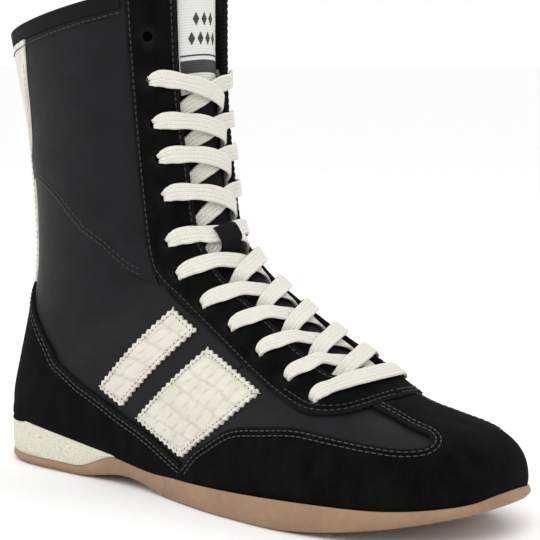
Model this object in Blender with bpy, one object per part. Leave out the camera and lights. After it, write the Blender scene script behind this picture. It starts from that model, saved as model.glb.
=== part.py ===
"""Right-foot boxing boot: cemented sole, lined upper in panels, padded tongue and laced throat.

The upper is laid out on one reference surface, the outer face of its base fabric. A place on it is
(t, s): t is the rib number, 0 at the toe to 13 above the collar, and s runs round the boot from the
front ridge (0) to the sole edge or the back line (-1 on the lateral side, +1 on the medial side).
Each layer is a range of depths along the surface's normal, positive outwards. Lengths are in mm.
"""

import math

import bmesh
import bpy
import numpy as np
from mathutils import Vector
from mathutils.geometry import delaunay_2d_cdt

MM = 0.001

# Overall sizes
FOOT_LENGTH = 275.0
BALL_WIDTH = 94.0
SHAFT_HEIGHT = 117.0

# Thicknesses
GAP = 0.4
BASE_THICKNESS = 1.1
SUEDE_THICKNESS = 1.3
TRIM_THICKNESS = 1.1
STIFFENER_THICKNESS = 1.4
LINING_THICKNESS = 1.0
BINDING_THICKNESS = 0.9
TONGUE_SHELL_THICKNESS = 1.0
TONGUE_FOAM_THICKNESS = 3.0
TONGUE_LINING_THICKNESS = 0.9
INSOLE_BOARD_THICKNESS = 2.0
FOOTBED_THICKNESS = 4.0

# Sole
SOLE_PROUD = 1.0
SOLE_BULGE = 0.8
HEEL_RUBBER_THICKNESS = 4.8
WEDGE_FEATHER_THICKNESS = 0.8
WEDGE_FRONT_RIB = 6.0
ARCH_RISE = 4.5
ARCH_BACK_X = -80.0
ARCH_FRONT_X = -8.0
TOE_SPRING = 14.0
TOE_SPRING_X = 48.0
HEEL_BEVEL = 5.0
HEEL_BEVEL_X = -126.0
SOLE_EDGE_RADIUS = 2.2
SOLE_RIB_SPACING = 0.5

# Throat and lace
EYELET_RIBS = (11.20, 10.75, 10.30, 9.77, 9.02, 7.78, 6.78, 6.07, 5.28, 4.48, 3.78)
EMPTY_EYELET_RIB = 11.58
EYELET_S = 0.23
EYELET_SIDES = 8
EYELET_STEPS = 12
THROAT_S = 0.14
THROAT_BOTTOM_RIB = 3.72
LACE_WIDTH = 6.8
LACE_THICKNESS = 1.1
LACE_BUNCH_WIDTH = 3.0
LACE_BUNCH_THICKNESS = 2.2
LACE_LIFT = 0.35
LACE_EASE = 0.7
LACE_FILL = 0.5
LACE_TAIL_RIBS = 0.6
KEEPER_ROW = 4
KEEPER_RISE_RIBS = 0.07
KEEPER_WIDTH = 9.0
KEEPER_THICKNESS = 0.8

# Panel edges on the reference surface
COLLAR_RIB = 12.0
BASE_EDGE_S = 0.27
FACING_EDGE_S = 0.26
LINING_EDGE_S = 0.30
TONGUE_EDGE_S = 0.28
BACK_SEAM_S = 0.996
VAMP_SEAM_RIB = 5.3
SEAM_HALF_GAP = 0.01
TONGUE_START_RIB = 3.5
TONGUE_HINGE_RIB = 9.5
TONGUE_TOP_RIB = 12.35
BINDING_DEPTH = 6.5

# Layers, as (inner, outer) depths
BASE = (-BASE_THICKNESS, 0.0)
OVERLAY = (GAP, GAP + SUEDE_THICKNESS)
TRIM = (GAP, GAP + TRIM_THICKNESS)
STIFFENER = (BASE[0] - GAP - STIFFENER_THICKNESS, BASE[0] - GAP)
LINING = (STIFFENER[0] - GAP - LINING_THICKNESS, STIFFENER[0] - GAP)
INSIDE_LACE_DEPTH = BASE[0] - GAP - LACE_BUNCH_THICKNESS / 2
TONGUE_SHELL_OUT = INSIDE_LACE_DEPTH - LACE_BUNCH_THICKNESS / 2 - GAP
TONGUE_SHELL = (TONGUE_SHELL_OUT - TONGUE_SHELL_THICKNESS, TONGUE_SHELL_OUT)
TONGUE_FOAM = (TONGUE_SHELL[0] - GAP - TONGUE_FOAM_THICKNESS, TONGUE_SHELL[0] - GAP)
TONGUE_LINING = (TONGUE_FOAM[0] - GAP - TONGUE_LINING_THICKNESS, TONGUE_FOAM[0] - GAP)

# The last, one row a rib: ridge x and z, edge x and z, half widths of the sole edge (lateral,
# medial) and of the widest line (lateral, medial), height share of the widest line, how far the
# rib fans round the toe, and roundness above and below the widest line.
LAST_LENGTH, LAST_WIDTH, LAST_SHAFT, LAST_ANKLE_Z = 275.0, 94.0, 117.0, 114.0
RIBS = np.array([
    [115, 44, 137, 19, 0, 0, 0, 0, 0.80, 1.0, 2.2, 2.0],
    [112, 45, 130, 16, 24, 24, 25, 25, 0.80, 1.0, 2.2, 2.0],
    [103, 47, 105, 13, 39, 39, 42, 42, 0.78, 0.8, 2.2, 2.0],
    [85, 53, 66, 12, 46, 43, 48, 46, 0.75, 0.2, 2.1, 2.0],
    [67, 65, 24, 10, 43, 37, 46, 42, 0.70, 0.0, 2.1, 2.1],
    [47, 76, -20, 9, 35, 30, 40, 38, 0.62, 0.0, 2.1, 2.3],
    [28, 88, -64, 15, 31, 29, 36, 35, 0.58, 0.0, 2.0, 2.5],
    [9, 101, -115, 21, 28, 26, 35, 34, 0.56, 0.0, 2.0, 2.6],
    [-3, 114, -138, 22, 0, 0, 33, 33, 0.55, 0.0, 2.0, 2.6],
    [-10, 124, -135, 42, 0, 0, 33, 33, 0.52, 0.0, 2.0, 2.5],
    [-16, 149, -122, 92, 0, 0, 34, 34, 0.50, 0.0, 2.0, 2.3],
    [-21, 182, -124, 145, 0, 0, 37, 37, 0.50, 0.0, 2.0, 2.1],
    [-22, 231, -136, 205, 0, 0, 40, 40, 0.50, 0.0, 2.0, 2.1],
    [-22, 275, -143, 250, 0, 0, 42, 42, 0.50, 0.0, 2.0, 2.1],
])
TOE_TUCK = 3.0
TOE_TUCK_FROM_X, TOE_TUCK_OVER = 90.0, 45.0
LATTICE_RIBS = (0, 0.1, 0.3, 0.6, 1, 1.5, 2, 3, 4, 5, 5.9, 6, 6.5, 7, 7.4, 7.7, 7.9, 8,
                8.5, 9, 9.5, 10, 11, 12, 12.5, 13)
LATTICE_STEPS = 10
LAST_SOLE_RIB = 8.0
TUCK_S, TUCK_RISE = 0.85, 0.1

BLACK_NYLON = ((0.012, 0.012, 0.014), 0.5)
BLACK_SUEDE = ((0.008, 0.008, 0.008), 0.95)
BLACK_TAPE = ((0.014, 0.014, 0.015), 0.8)
CREAM_LEATHER = ((0.69, 0.65, 0.56), 0.45)
CREAM_RUBBER = ((0.62, 0.58, 0.48), 0.6)
CREAM_LACE = ((0.84, 0.81, 0.72), 0.85)
GUM_RUBBER = ((0.33, 0.19, 0.10), 0.55)
DARK_LINING = ((0.03, 0.03, 0.032), 0.9)
GREY_FOAM = ((0.25, 0.25, 0.25), 0.95)
WHITE_LABEL = ((0.8, 0.8, 0.78), 0.8)
BOARD = ((0.45, 0.36, 0.24), 0.9)


def hermite(values, t):
    """Smooth curve through rows of values at whole-number knots, read at t."""
    tangents = np.gradient(values, axis=0)
    i = min(int(t), len(values) - 2)
    u = t - i
    return (values[i] * (2 * u**3 - 3 * u**2 + 1) + tangents[i] * (u**3 - 2 * u**2 + u)
            + values[i + 1] * (3 * u**2 - 2 * u**3) + tangents[i + 1] * (u**3 - u**2))


def last_point(t, s):
    """The true surface's point at (t, s)."""
    rows = RIBS.copy()
    rows[:, 4:8] **= 2
    row = hermite(rows, t)
    ridge_x, ridge_z, edge_x, edge_z = row[:4]
    edge_y = math.sqrt(max(row[4 if s < 0 else 5], 0))
    widest_y = math.sqrt(max(row[6 if s < 0 else 7], 0))
    share, fan, round_up, round_down = row[8:]
    tuck = TOE_TUCK * fan * min(max((edge_x - TOE_TUCK_FROM_X) / TOE_TUCK_OVER, 0), 1)
    widest_x = ridge_x + (edge_x - ridge_x) * ((1 - fan) * share + fan) + tuck
    widest_z = ridge_z + share * (edge_z - ridge_z)
    r = abs(s)
    if r <= 0.5:
        angle = math.pi * r
        out = math.sin(angle) ** (2 / round_up)
        down = 1 - abs(math.cos(angle)) ** (2 / round_up)
        x = ridge_x + (widest_x - ridge_x) * (fan * out + (1 - fan) * down)
        y = widest_y * out
        z = ridge_z + (widest_z - ridge_z) * down
    else:
        angle = math.pi * (r - 0.5)
        along = math.sin(angle) ** (2 / round_down)
        inwards = 1 - abs(math.cos(angle)) ** (2 / round_down)
        reach = (1 - fan) * (edge_x - widest_x)
        x = widest_x - (widest_x + reach - edge_x) * inwards + reach * along
        y = widest_y - (widest_y - edge_y) * inwards
        z = widest_z + (edge_z - widest_z) * along
    return sized(x, math.copysign(y, s), z)


def sized(x, y, z):
    """A point of the last brought to the boot's own length, width and shaft height."""
    shaft = max(z - LAST_ANKLE_Z, 0.0) * SHAFT_HEIGHT / LAST_SHAFT
    return np.array([x * FOOT_LENGTH / LAST_LENGTH, y * BALL_WIDTH / LAST_WIDTH,
                     min(z, LAST_ANKLE_Z) + shaft])


def place_key(point):
    return tuple(np.round(point, 3) + 0.0)


class Surface:
    """The last as one set of flat facets, which every layer follows at its own depth."""

    def __init__(self):
        self.steps = [step / LATTICE_STEPS for step in range(-LATTICE_STEPS, LATTICE_STEPS + 1)]
        self.points = np.array([[last_point(t, s) for s in self.steps] for t in LATTICE_RIBS])
        self.normals = self.vertex_normals()

    def corners(self, i, j):
        """A cell's four corners and the two triangles it is split into, mirrored at the ridge."""
        near, far = (i, j), (i + 1, j)
        near_next, far_next = (i, j + 1), (i + 1, j + 1)
        if self.steps[j] >= 0:
            return (near, near_next, far_next), (near, far_next, far)
        return (near, near_next, far), (near_next, far_next, far)

    def vertex_normals(self):
        sums = {}
        for i in range(len(LATTICE_RIBS) - 1):
            for j in range(len(self.steps) - 1):
                for triangle in self.corners(i, j):
                    a, b, c = (self.points[corner] for corner in triangle)
                    for point in (a, b, c):
                        key = place_key(point)
                        sums[key] = sums.get(key, 0) + np.cross(b - a, c - a)
        normals = np.zeros_like(self.points)
        for i, t in enumerate(LATTICE_RIBS):
            for j, s in enumerate(self.steps):
                normal = sums[place_key(self.points[i, j])]
                normal = normal / np.linalg.norm(normal)
                if abs(s) == 1 and t <= LAST_SOLE_RIB:
                    normal = self.plan_normal(i, j)
                elif abs(s) > TUCK_S and t <= LAST_SOLE_RIB:
                    normal[2] = min(max(normal[2], 0), TUCK_RISE)
                normals[i, j] = normal / np.linalg.norm(normal)
        return normals

    def plan_normal(self, i, j):
        """Level direction square to the sole edge, so that every layer meets the sole upright."""
        t = LATTICE_RIBS[i]
        if t in (0, LAST_SOLE_RIB):
            return np.array([1.0 if t == 0 else -1.0, 0.0, 0.0])
        along = self.points[i + 1, j] - self.points[i - 1, j]
        return np.array([along[1], -along[0], 0.0]) * self.steps[j]

    def read(self, t, s):
        """The facets' point and normal at (t, s)."""
        i = min(max(int(np.searchsorted(LATTICE_RIBS, t, side="right")) - 1, 0),
                len(LATTICE_RIBS) - 2)
        j = min(int(math.floor((s + 1) * LATTICE_STEPS + 1e-9)), len(self.steps) - 2)
        u = (t - LATTICE_RIBS[i]) / (LATTICE_RIBS[i + 1] - LATTICE_RIBS[i])
        v = (s - self.steps[j]) * LATTICE_STEPS
        near, near_next = (i, j), (i, j + 1)
        far, far_next = (i + 1, j), (i + 1, j + 1)
        if self.steps[j] >= 0:
            if v >= u:
                weights = ((near, 1 - v), (near_next, v - u), (far_next, u))
            else:
                weights = ((near, 1 - u), (far, u - v), (far_next, v))
        elif u + v <= 1:
            weights = ((near, 1 - u - v), (near_next, v), (far, u))
        else:
            weights = ((far_next, u + v - 1), (near_next, 1 - u), (far, 1 - v))
        point = sum(weight * self.points[corner] for corner, weight in weights)
        normal = sum(weight * self.normals[corner] for corner, weight in weights)
        return point, normal

    def at(self, t, s, depth=0.0):
        point, normal = self.read(t, s)
        return point + normal * depth


SURFACE = Surface()


def material_of(name, look):
    colour, roughness = look
    material = bpy.data.materials.new(name)
    material.use_nodes = True
    shader = material.node_tree.nodes["Principled BSDF"]
    shader.inputs["Base Color"].default_value = (*colour, 1.0)
    shader.inputs["Roughness"].default_value = roughness
    shader.inputs["Metallic"].default_value = 0.0
    return material


def add_object(name, look, mesh_builder, parent):
    """Turn a bmesh in millimetres into a named object, shaded smooth, with its own material."""
    origin = parent.location if parent else Vector()
    for vertex in mesh_builder.verts:
        vertex.co = vertex.co * MM - origin
    mesh = bpy.data.meshes.new(name)
    mesh_builder.to_mesh(mesh)
    mesh_builder.free()
    mesh.shade_smooth()
    mesh.set_sharp_from_angle(angle=math.radians(40))
    mesh.materials.append(material_of(name, look))
    made = bpy.data.objects.new(name, mesh)
    made.parent = parent
    bpy.context.scene.collection.objects.link(made)
    return made


def inside(loops, x, y):
    """Even-odd test of a flat point against a set of closed loops."""
    crossings = 0
    for loop in loops:
        for (ax, ay), (bx, by) in zip(loop, loop[1:] + loop[:1]):
            if (ay > y) != (by > y) and x < ax + (y - ay) * (bx - ax) / (by - ay):
                crossings += 1
    return crossings % 2 == 1


def lattice_net():
    """Flat points and edges of the surface's facets, as (s, t) with one lattice step as unit."""
    points = [(s * LATTICE_STEPS, t) for t in LATTICE_RIBS for s in SURFACE.steps]
    width = len(SURFACE.steps)
    edges = set()
    for i in range(len(LATTICE_RIBS) - 1):
        for j in range(width - 1):
            for triangle in SURFACE.corners(i, j):
                flat = [row * width + column for row, column in triangle]
                for a, b in zip(flat, flat[1:] + flat[:1]):
                    edges.add((min(a, b), max(a, b)))
    return points, sorted(edges)


NET = lattice_net()


def region(loops):
    """The facets inside closed loops of (t, s): surface places and triangles, welded at seams."""
    points, edges = list(NET[0]), list(NET[1])
    flat_loops = [[(s * LATTICE_STEPS, t) for t, s in loop] for loop in loops]
    for loop in flat_loops:
        first = len(points)
        points += loop
        edges += [(first + i, first + (i + 1) % len(loop)) for i in range(len(loop))]
    made = delaunay_2d_cdt([Vector(point) for point in points], edges, [], 0, 1e-4)
    flat, triangles = made[0], made[2]
    places, index, kept = [], {}, []
    for triangle in triangles:
        x = sum(flat[corner].x for corner in triangle) / 3
        y = sum(flat[corner].y for corner in triangle) / 3
        if not inside(flat_loops, x, y):
            continue
        face = []
        for corner in triangle:
            t = min(max(flat[corner].y, LATTICE_RIBS[0]), LATTICE_RIBS[-1])
            s = min(max(flat[corner].x / LATTICE_STEPS, -1.0), 1.0)
            key = place_key(SURFACE.at(t, s))
            if key not in index:
                index[key] = len(places)
                places.append((t, s))
            face.append(index[key])
        if len(set(face)) == 3:
            kept.append(face)
    return places, kept


def panel(name, look, loops, layer, parent=None):
    """A closed solid over a region of the surface, between two depths or a function of them."""
    places, triangles = region(loops)
    depths = layer if callable(layer) else lambda t, s: layer
    built = bmesh.new()
    inner = [built.verts.new(SURFACE.at(t, s, depths(t, s)[0])) for t, s in places]
    outer = [built.verts.new(SURFACE.at(t, s, depths(t, s)[1])) for t, s in places]
    directed = set()
    for a, b, c in triangles:
        built.faces.new((outer[a], outer[b], outer[c]))
        built.faces.new((inner[c], inner[b], inner[a]))
        directed.update(((a, b), (b, c), (c, a)))
    for a, b in sorted(directed):
        if (b, a) not in directed:
            built.faces.new((outer[b], outer[a], inner[a], inner[b]))
    return add_object(name, look, built, parent)


def loft(name, look, rings, parent=None):
    """A closed solid through a row of sections with the same number of corners."""
    built = bmesh.new()
    rows = [[built.verts.new(point) for point in ring] for ring in rings]
    corners = len(rows[0])
    for near, far in zip(rows, rows[1:]):
        for i in range(corners):
            j = (i + 1) % corners
            built.faces.new((near[i], near[j], far[j], far[i]))
    built.faces.new(rows[0])
    built.faces.new(rows[-1])
    bmesh.ops.recalc_face_normals(built, faces=built.faces)
    return add_object(name, look, built, parent)


def slab(name, look, ribs, rings):
    """A closed solid whose outline is the sole edge. Each ring gives, for a rib, how far outside
    that edge it lies and a height, which may be a function of the ring's own x."""
    built = bmesh.new()
    sides = []
    for ring in rings:
        lateral, medial = [], []
        for t in ribs:
            out, height = ring(t)
            vertices = []
            for s in (-1, 1):
                x, y, _ = SURFACE.at(t, s, out)
                z = height(x) if callable(height) else height
                vertices.append(built.verts.new((x, y, z)))
            if abs(vertices[0].co.y - vertices[1].co.y) < 1e-3:
                built.verts.remove(vertices[1])
                vertices[1] = vertices[0]
            lateral.append(vertices[0])
            medial.append(vertices[1])
        closed_back = lateral[-1] is medial[-1]
        closed_front = lateral[0] is medial[0]
        around = lateral + medial[::-1][closed_back:len(medial) - closed_front]
        sides.append((lateral, medial, around))
    for (_, _, upper), (_, _, lower) in zip(sides, sides[1:]):
        for i in range(len(upper)):
            j = (i + 1) % len(upper)
            built.faces.new((upper[i], upper[j], lower[j], lower[i]))
    for lateral, medial, _ in (sides[0], sides[-1]):
        for i in range(len(lateral) - 1):
            corners = (lateral[i], lateral[i + 1], medial[i + 1], medial[i])
            built.faces.new(list(dict.fromkeys(corners)))
    bmesh.ops.recalc_face_normals(built, faces=built.faces)
    return add_object(name, look, built, None)


def both_sides(loop):
    """A loop on the medial side and its mirror image on the lateral side."""
    return [loop, mirrored(loop)]


def mirrored(path):
    return [(t, -s) for t, s in path]


def across(path):
    """One loop from a path on the medial side, closed through its mirror image."""
    return [path + mirrored(path)[::-1]]


def bottom_z(x):
    """Height of the tread under the boot, flat at the heel and at the ball."""
    if x < HEEL_BEVEL_X:
        back = SURFACE.at(LAST_SOLE_RIB, 1)[0]
        return HEEL_BEVEL * ((HEEL_BEVEL_X - x) / (HEEL_BEVEL_X - back)) ** 1.5
    if ARCH_BACK_X < x < ARCH_FRONT_X:
        share = (x - ARCH_BACK_X) / (ARCH_FRONT_X - ARCH_BACK_X)
        return ARCH_RISE * math.sin(math.pi * share) ** 2
    if x > TOE_SPRING_X:
        front = SURFACE.at(0, 1)[0]
        return TOE_SPRING * ((x - TOE_SPRING_X) / (front - TOE_SPRING_X)) ** 1.7
    return 0.0


def feather_z(t):
    """Height of the upper's lower edge."""
    return float(SURFACE.at(t, 1)[2])


def rubber_top(t):
    """Top of the gum rubber: under the upper, and lower where the wedge lies on it."""
    top = feather_z(t) - GAP
    if t < WEDGE_FRONT_RIB:
        return top
    x = SURFACE.at(t, 1)[0]
    front_x = SURFACE.at(WEDGE_FRONT_RIB, 1)[0]
    share = min((front_x - x) / (front_x - SURFACE.at(6.5, 1)[0]), 1.0)
    thick = bottom_z(x) + HEEL_RUBBER_THICKNESS
    thin = top - GAP - WEDGE_FEATHER_THICKNESS
    return thin + (min(thick, thin) - thin) * share


def sole_ribs(first=0.0):
    """The surface's ribs down to the heel, and one between each two that are far apart."""
    ribs = [t for t in LATTICE_RIBS if first <= t <= LAST_SOLE_RIB]
    between = [(a + b) / 2 for a, b in zip(ribs, ribs[1:]) if b - a >= SOLE_RIB_SPACING]
    return sorted(ribs + between)


def make_outsole():
    def shoulder(t):
        low = bottom_z(SURFACE.at(t, 1)[0])
        return SOLE_PROUD + SOLE_BULGE, low + 0.6 * (rubber_top(t) - low)

    slab("outsole", GUM_RUBBER, sole_ribs(), (
        lambda t: (SOLE_PROUD, rubber_top(t)),
        shoulder,
        lambda t: (SOLE_PROUD, lambda x: bottom_z(x) + SOLE_EDGE_RADIUS / 2),
        lambda t: (SOLE_PROUD - SOLE_EDGE_RADIUS, bottom_z),
    ))


def make_heel_wedge():
    def low(t):
        return rubber_top(t) + GAP

    slab("heel_wedge", CREAM_RUBBER, sole_ribs(WEDGE_FRONT_RIB), (
        lambda t: (SOLE_PROUD, feather_z(t) - GAP),
        lambda t: (SOLE_PROUD + SOLE_BULGE, (feather_z(t) - GAP + low(t)) / 2),
        lambda t: (SOLE_PROUD, low(t)),
    ))


def make_insole():
    board_out = LINING[0] - GAP
    board_top = INSOLE_BOARD_THICKNESS
    slab("insole_board", BOARD, sole_ribs(), (
        lambda t: (board_out, feather_z(t) + board_top),
        lambda t: (board_out, feather_z(t)),
    ))
    footbed_low = board_top + GAP
    slab("footbed", DARK_LINING, sole_ribs(), (
        lambda t: (board_out - GAP, feather_z(t) + footbed_low + FOOTBED_THICKNESS),
        lambda t: (board_out - GAP, feather_z(t) + footbed_low),
    ))


def make_base_panels():
    vamp = [(0, 1), (VAMP_SEAM_RIB - SEAM_HALF_GAP, 1), (VAMP_SEAM_RIB - SEAM_HALF_GAP, BASE_EDGE_S),
            (3.55, BASE_EDGE_S), (3.40, 0.22), (3.35, 0.12)]
    panel("vamp", BLACK_NYLON, across(vamp), BASE)
    seam = [(11.0, BACK_SEAM_S), (10.83, 0.69), (10.48, 0.57), (10.0, 0.49), (9.55, 0.40),
            (8.92, 0.32), (8.35, BASE_EDGE_S)]
    quarter = [(VAMP_SEAM_RIB + SEAM_HALF_GAP, BASE_EDGE_S), (VAMP_SEAM_RIB + SEAM_HALF_GAP, 1),
               (7.9, 1), (8.0, BACK_SEAM_S)]
    quarter += [(t - SEAM_HALF_GAP, s) for t, s in seam]
    shaft = [(t + SEAM_HALF_GAP, s) for t, s in seam]
    shaft += [(COLLAR_RIB - 0.02, BASE_EDGE_S), (COLLAR_RIB - 0.02, BACK_SEAM_S)]
    for side, turn in (("medial", list), ("lateral", mirrored)):
        panel(f"quarter_{side}", BLACK_NYLON, [turn(quarter)], BASE)
        panel(f"shaft_panel_{side}", BLACK_NYLON, [turn(shaft)], BASE)


def make_toe_cap():
    cap = [(0, 1), (4.75, 1), (4.77, 0.70), (4.72, 0.54), (4.5, 0.44), (4.02, 0.38), (3.43, 0.32),
           (2.8, 0.29), (2.25, 0.28), (1.77, 0.27), (1.53, 0.25), (1.45, 0.21), (1.55, 0.17),
           (2.05, 0.13), (2.47, 0.11), (2.89, 0.11)]
    panel("toe_cap", BLACK_SUEDE, across(cap), OVERLAY)
    puff = [(0, 0.92), (1.4, 0.92), (1.6, 0.5), (1.6, 0.1)]
    panel("toe_puff", BOARD, across(puff), STIFFENER)


def foxing_top():
    return [(4.82, 0.70), (5.18, 0.65), (5.6, 0.62), (6.10, 0.60), (6.48, 0.575), (6.83, 0.56),
            (7.52, 0.54), (8.58, 0.56), (9.15, 0.62), (9.45, 0.69), (9.75, 0.79), (9.95, 0.9),
            (10.0, 1.0)]


def make_heel():
    foxing = foxing_top() + [(4.82, 1.0)]
    panel("heel_foxing", BLACK_SUEDE, both_sides(foxing), OVERLAY)
    counter = [(6.6, 0.66), (7.5, 0.60), (8.6, 0.62), (9.3, 0.78), (9.5, 1.0), (8.05, 1.0),
               (7.9, 0.97), (6.6, 0.97)]
    panel("heel_counter", BOARD, both_sides(counter), STIFFENER)
    backstay = [(11.87, 0.65), (11.4, 0.70), (10.8, 0.78), (10.4, 0.80), (9.85, 0.815),
                (9.98, 0.9), (10.03, 1.0), (11.87, 1.0)]
    panel("backstay", CREAM_LEATHER, both_sides(backstay), TRIM)


def make_side_bars():
    rear = [(6.40, 0.29), (7.10, 0.285), (6.62, 0.545), (6.15, 0.575)]
    front = [(4.60, 0.31), (6.03, 0.31), (5.88, 0.59), (5.18, 0.63), (4.86, 0.66), (4.80, 0.54),
             (4.68, 0.44)]
    for side, turn in (("medial", list), ("lateral", mirrored)):
        panel(f"side_bar_rear_{side}", CREAM_LEATHER, [turn(rear)], TRIM)
        panel(f"side_bar_front_{side}", CREAM_LEATHER, [turn(front)], TRIM)


def eyelet_radius():
    return math.hypot(LACE_BUNCH_WIDTH, LACE_BUNCH_THICKNESS) / 2 + GAP


def eyelet(t, s):
    """A round hole as a loop on the surface: each corner is stepped to its own distance."""
    step = 0.01
    centre, normal = SURFACE.read(t, s)
    along = SURFACE.at(t + step, s) - SURFACE.at(t - step, s)
    along /= np.linalg.norm(along)
    axes = np.array([along, np.cross(normal, along)])
    stretch = np.array([axes @ (SURFACE.at(t + step, s) - centre),
                        axes @ (SURFACE.at(t, s + step) - centre)]).T / step
    loop = []
    for corner in range(EYELET_SIDES):
        angle = 2 * math.pi * (corner + 0.5) / EYELET_SIDES
        target = eyelet_radius() * np.array([math.cos(angle), math.sin(angle)])
        place = np.array([t, s])
        for _ in range(EYELET_STEPS):
            place += np.linalg.solve(stretch, target - axes @ (SURFACE.at(*place) - centre))
        loop.append(tuple(place))
    return loop


def eyelets(side):
    return [eyelet(t, side * EYELET_S) for t in (EMPTY_EYELET_RIB, *EYELET_RIBS)]


def make_eyestay():
    outer = [(12.05, 0.29), (11.0, 0.295), (10.0, 0.305), (9.0, 0.29), (8.0, 0.275), (7.0, 0.265),
             (6.0, 0.28), (5.0, 0.29), (4.1, 0.29), (3.7, 0.28), (3.42, 0.25), (3.15, 0.20),
             (2.97, 0.12), (2.92, 0.04)]
    inner = [(THROAT_BOTTOM_RIB, 0.03), (THROAT_BOTTOM_RIB + 0.05, 0.07),
             (THROAT_BOTTOM_RIB + 0.18, 0.12), (THROAT_BOTTOM_RIB + 0.4, THROAT_S),
             (12.05, THROAT_S)]
    loop = outer + mirrored(outer)[::-1] + mirrored(inner)[::-1] + inner
    panel("eyestay", BLACK_SUEDE, [loop, *eyelets(-1), *eyelets(1)], OVERLAY)
    facing = [(3.5, THROAT_S + 0.01), (3.6, FACING_EDGE_S), (11.98, FACING_EDGE_S),
              (11.98, THROAT_S + 0.01)]
    panel("facing_medial", BLACK_TAPE, [facing, *eyelets(1)], BASE)
    panel("facing_lateral", BLACK_TAPE, [mirrored(facing), *eyelets(-1)], BASE)


def make_lining():
    lining = [(0, 1), (11.97, 1), (11.97, LINING_EDGE_S), (3.7, LINING_EDGE_S), (3.45, 0.25),
              (3.38, 0.12)]
    panel("lining", DARK_LINING, across(lining), LINING)
    foam = [(11.9, 1.0), (11.9, 0.42), (11.2, 0.40), (10.5, 0.55), (10.35, 1.0)]
    panel("collar_foam", GREY_FOAM, both_sides(foam), STIFFENER)


def binding_section(t, s, inner, outer):
    """An upside-down U over an edge that lies between two depths."""
    point, normal = SURFACE.read(t, s)
    up = point - SURFACE.read(t - 0.5, s)[0]
    up /= np.linalg.norm(up)
    skin = BINDING_THICKNESS
    section = ((-BINDING_DEPTH, outer + GAP + skin), (GAP + skin, outer + GAP + skin),
               (GAP + skin, inner - GAP - skin), (-BINDING_DEPTH, inner - GAP - skin),
               (-BINDING_DEPTH, inner - GAP), (GAP, inner - GAP), (GAP, outer + GAP),
               (-BINDING_DEPTH, outer + GAP))
    return [point + up * rise + normal * depth for rise, depth in section]


def make_collar_binding():
    places = [0.31] + [step / LATTICE_STEPS for step in range(4, LATTICE_STEPS + 1)]
    path = [-s for s in places] + places[-2::-1]
    rings = [binding_section(COLLAR_RIB, s, LINING[0], BASE[1]) for s in path]
    loft("collar_binding", BLACK_TAPE, rings)


def make_tongue(hinge):
    split = TONGUE_HINGE_RIB - 0.05
    lower = [(TONGUE_START_RIB, 0.05), (TONGUE_START_RIB + 0.1, 0.16),
             (TONGUE_START_RIB + 0.6, TONGUE_EDGE_S), (split - 0.05, TONGUE_EDGE_S), (split, 0.1)]
    upper = [(split + 0.1, 0.08), (split + 0.3, TONGUE_EDGE_S), (COLLAR_RIB, TONGUE_EDGE_S),
             (TONGUE_TOP_RIB - 0.1, 0.26), (TONGUE_TOP_RIB, 0.20)]
    layers = (("shell", BLACK_NYLON, TONGUE_SHELL), ("foam", GREY_FOAM, TONGUE_FOAM),
              ("lining", DARK_LINING, TONGUE_LINING))
    for layer, look, depths in layers:
        panel(f"tongue_{layer}_lower", look, across(lower), depths)
        panel(f"tongue_{layer}_upper", look, across(upper), depths, hinge)
    label = [(11.06, 0.105), (11.98, 0.105)]
    label_depths = (TONGUE_SHELL[1] + GAP, TONGUE_SHELL[1] + GAP + 0.6)
    panel("tongue_label", WHITE_LABEL, across(label), label_depths, hinge)
    rings = [binding_section(TONGUE_TOP_RIB, s, TONGUE_LINING[0], TONGUE_SHELL[1])
             for s in (-0.195, -0.1, 0.0, 0.1, 0.195)]
    loft("tongue_binding", BLACK_TAPE, rings, hinge)


def lace_depth():
    """Middle of the lace where it lies on the eyestay."""
    return OVERLAY[1] + GAP + LACE_LIFT + LACE_THICKNESS / 2


def make_lace_keeper():
    """A tape sewn to the tongue above and below one crossing, and arched over the lace."""
    upper, lower = EYELET_RIBS[KEEPER_ROW], EYELET_RIBS[KEEPER_ROW + 1]
    middle = (upper + lower) / 2
    sewn = TONGUE_SHELL[1] + GAP
    arched = lace_depth() + 2 * LACE_LIFT + LACE_THICKNESS / 2 + GAP
    half = KEEPER_WIDTH / 2 / np.linalg.norm(SURFACE.at(middle, 0.1) - SURFACE.at(middle, 0)) / 10
    ribs = (lower - KEEPER_RISE_RIBS, lower, middle, upper, upper + KEEPER_RISE_RIBS)

    def depths(t, _):
        low = sewn if t < ribs[1] - 1e-3 or t > ribs[3] + 1e-3 else arched
        return low, low + KEEPER_THICKNESS

    panel("lace_keeper", BLACK_TAPE, across([(t, half) for t in ribs]), depths)


def through_eyelet(row, side, inwards):
    """The lace's turn through one eyelet, bunched: from outside to inside or back."""
    t = EYELET_RIBS[row]
    outside = OVERLAY[1] + GAP + LACE_BUNCH_THICKNESS / 2
    bunch = (LACE_BUNCH_WIDTH, LACE_BUNCH_THICKNESS)
    turn = [(t, side * 0.205, outside, bunch), (t, side * 0.226, outside, bunch),
            (t, side * EYELET_S, OVERLAY[1], bunch), (t, side * EYELET_S, BASE[0], bunch),
            (t, side * 0.226, INSIDE_LACE_DEPTH, bunch), (t, side * 0.205, INSIDE_LACE_DEPTH, bunch)]
    return turn if inwards else turn[::-1]


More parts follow.
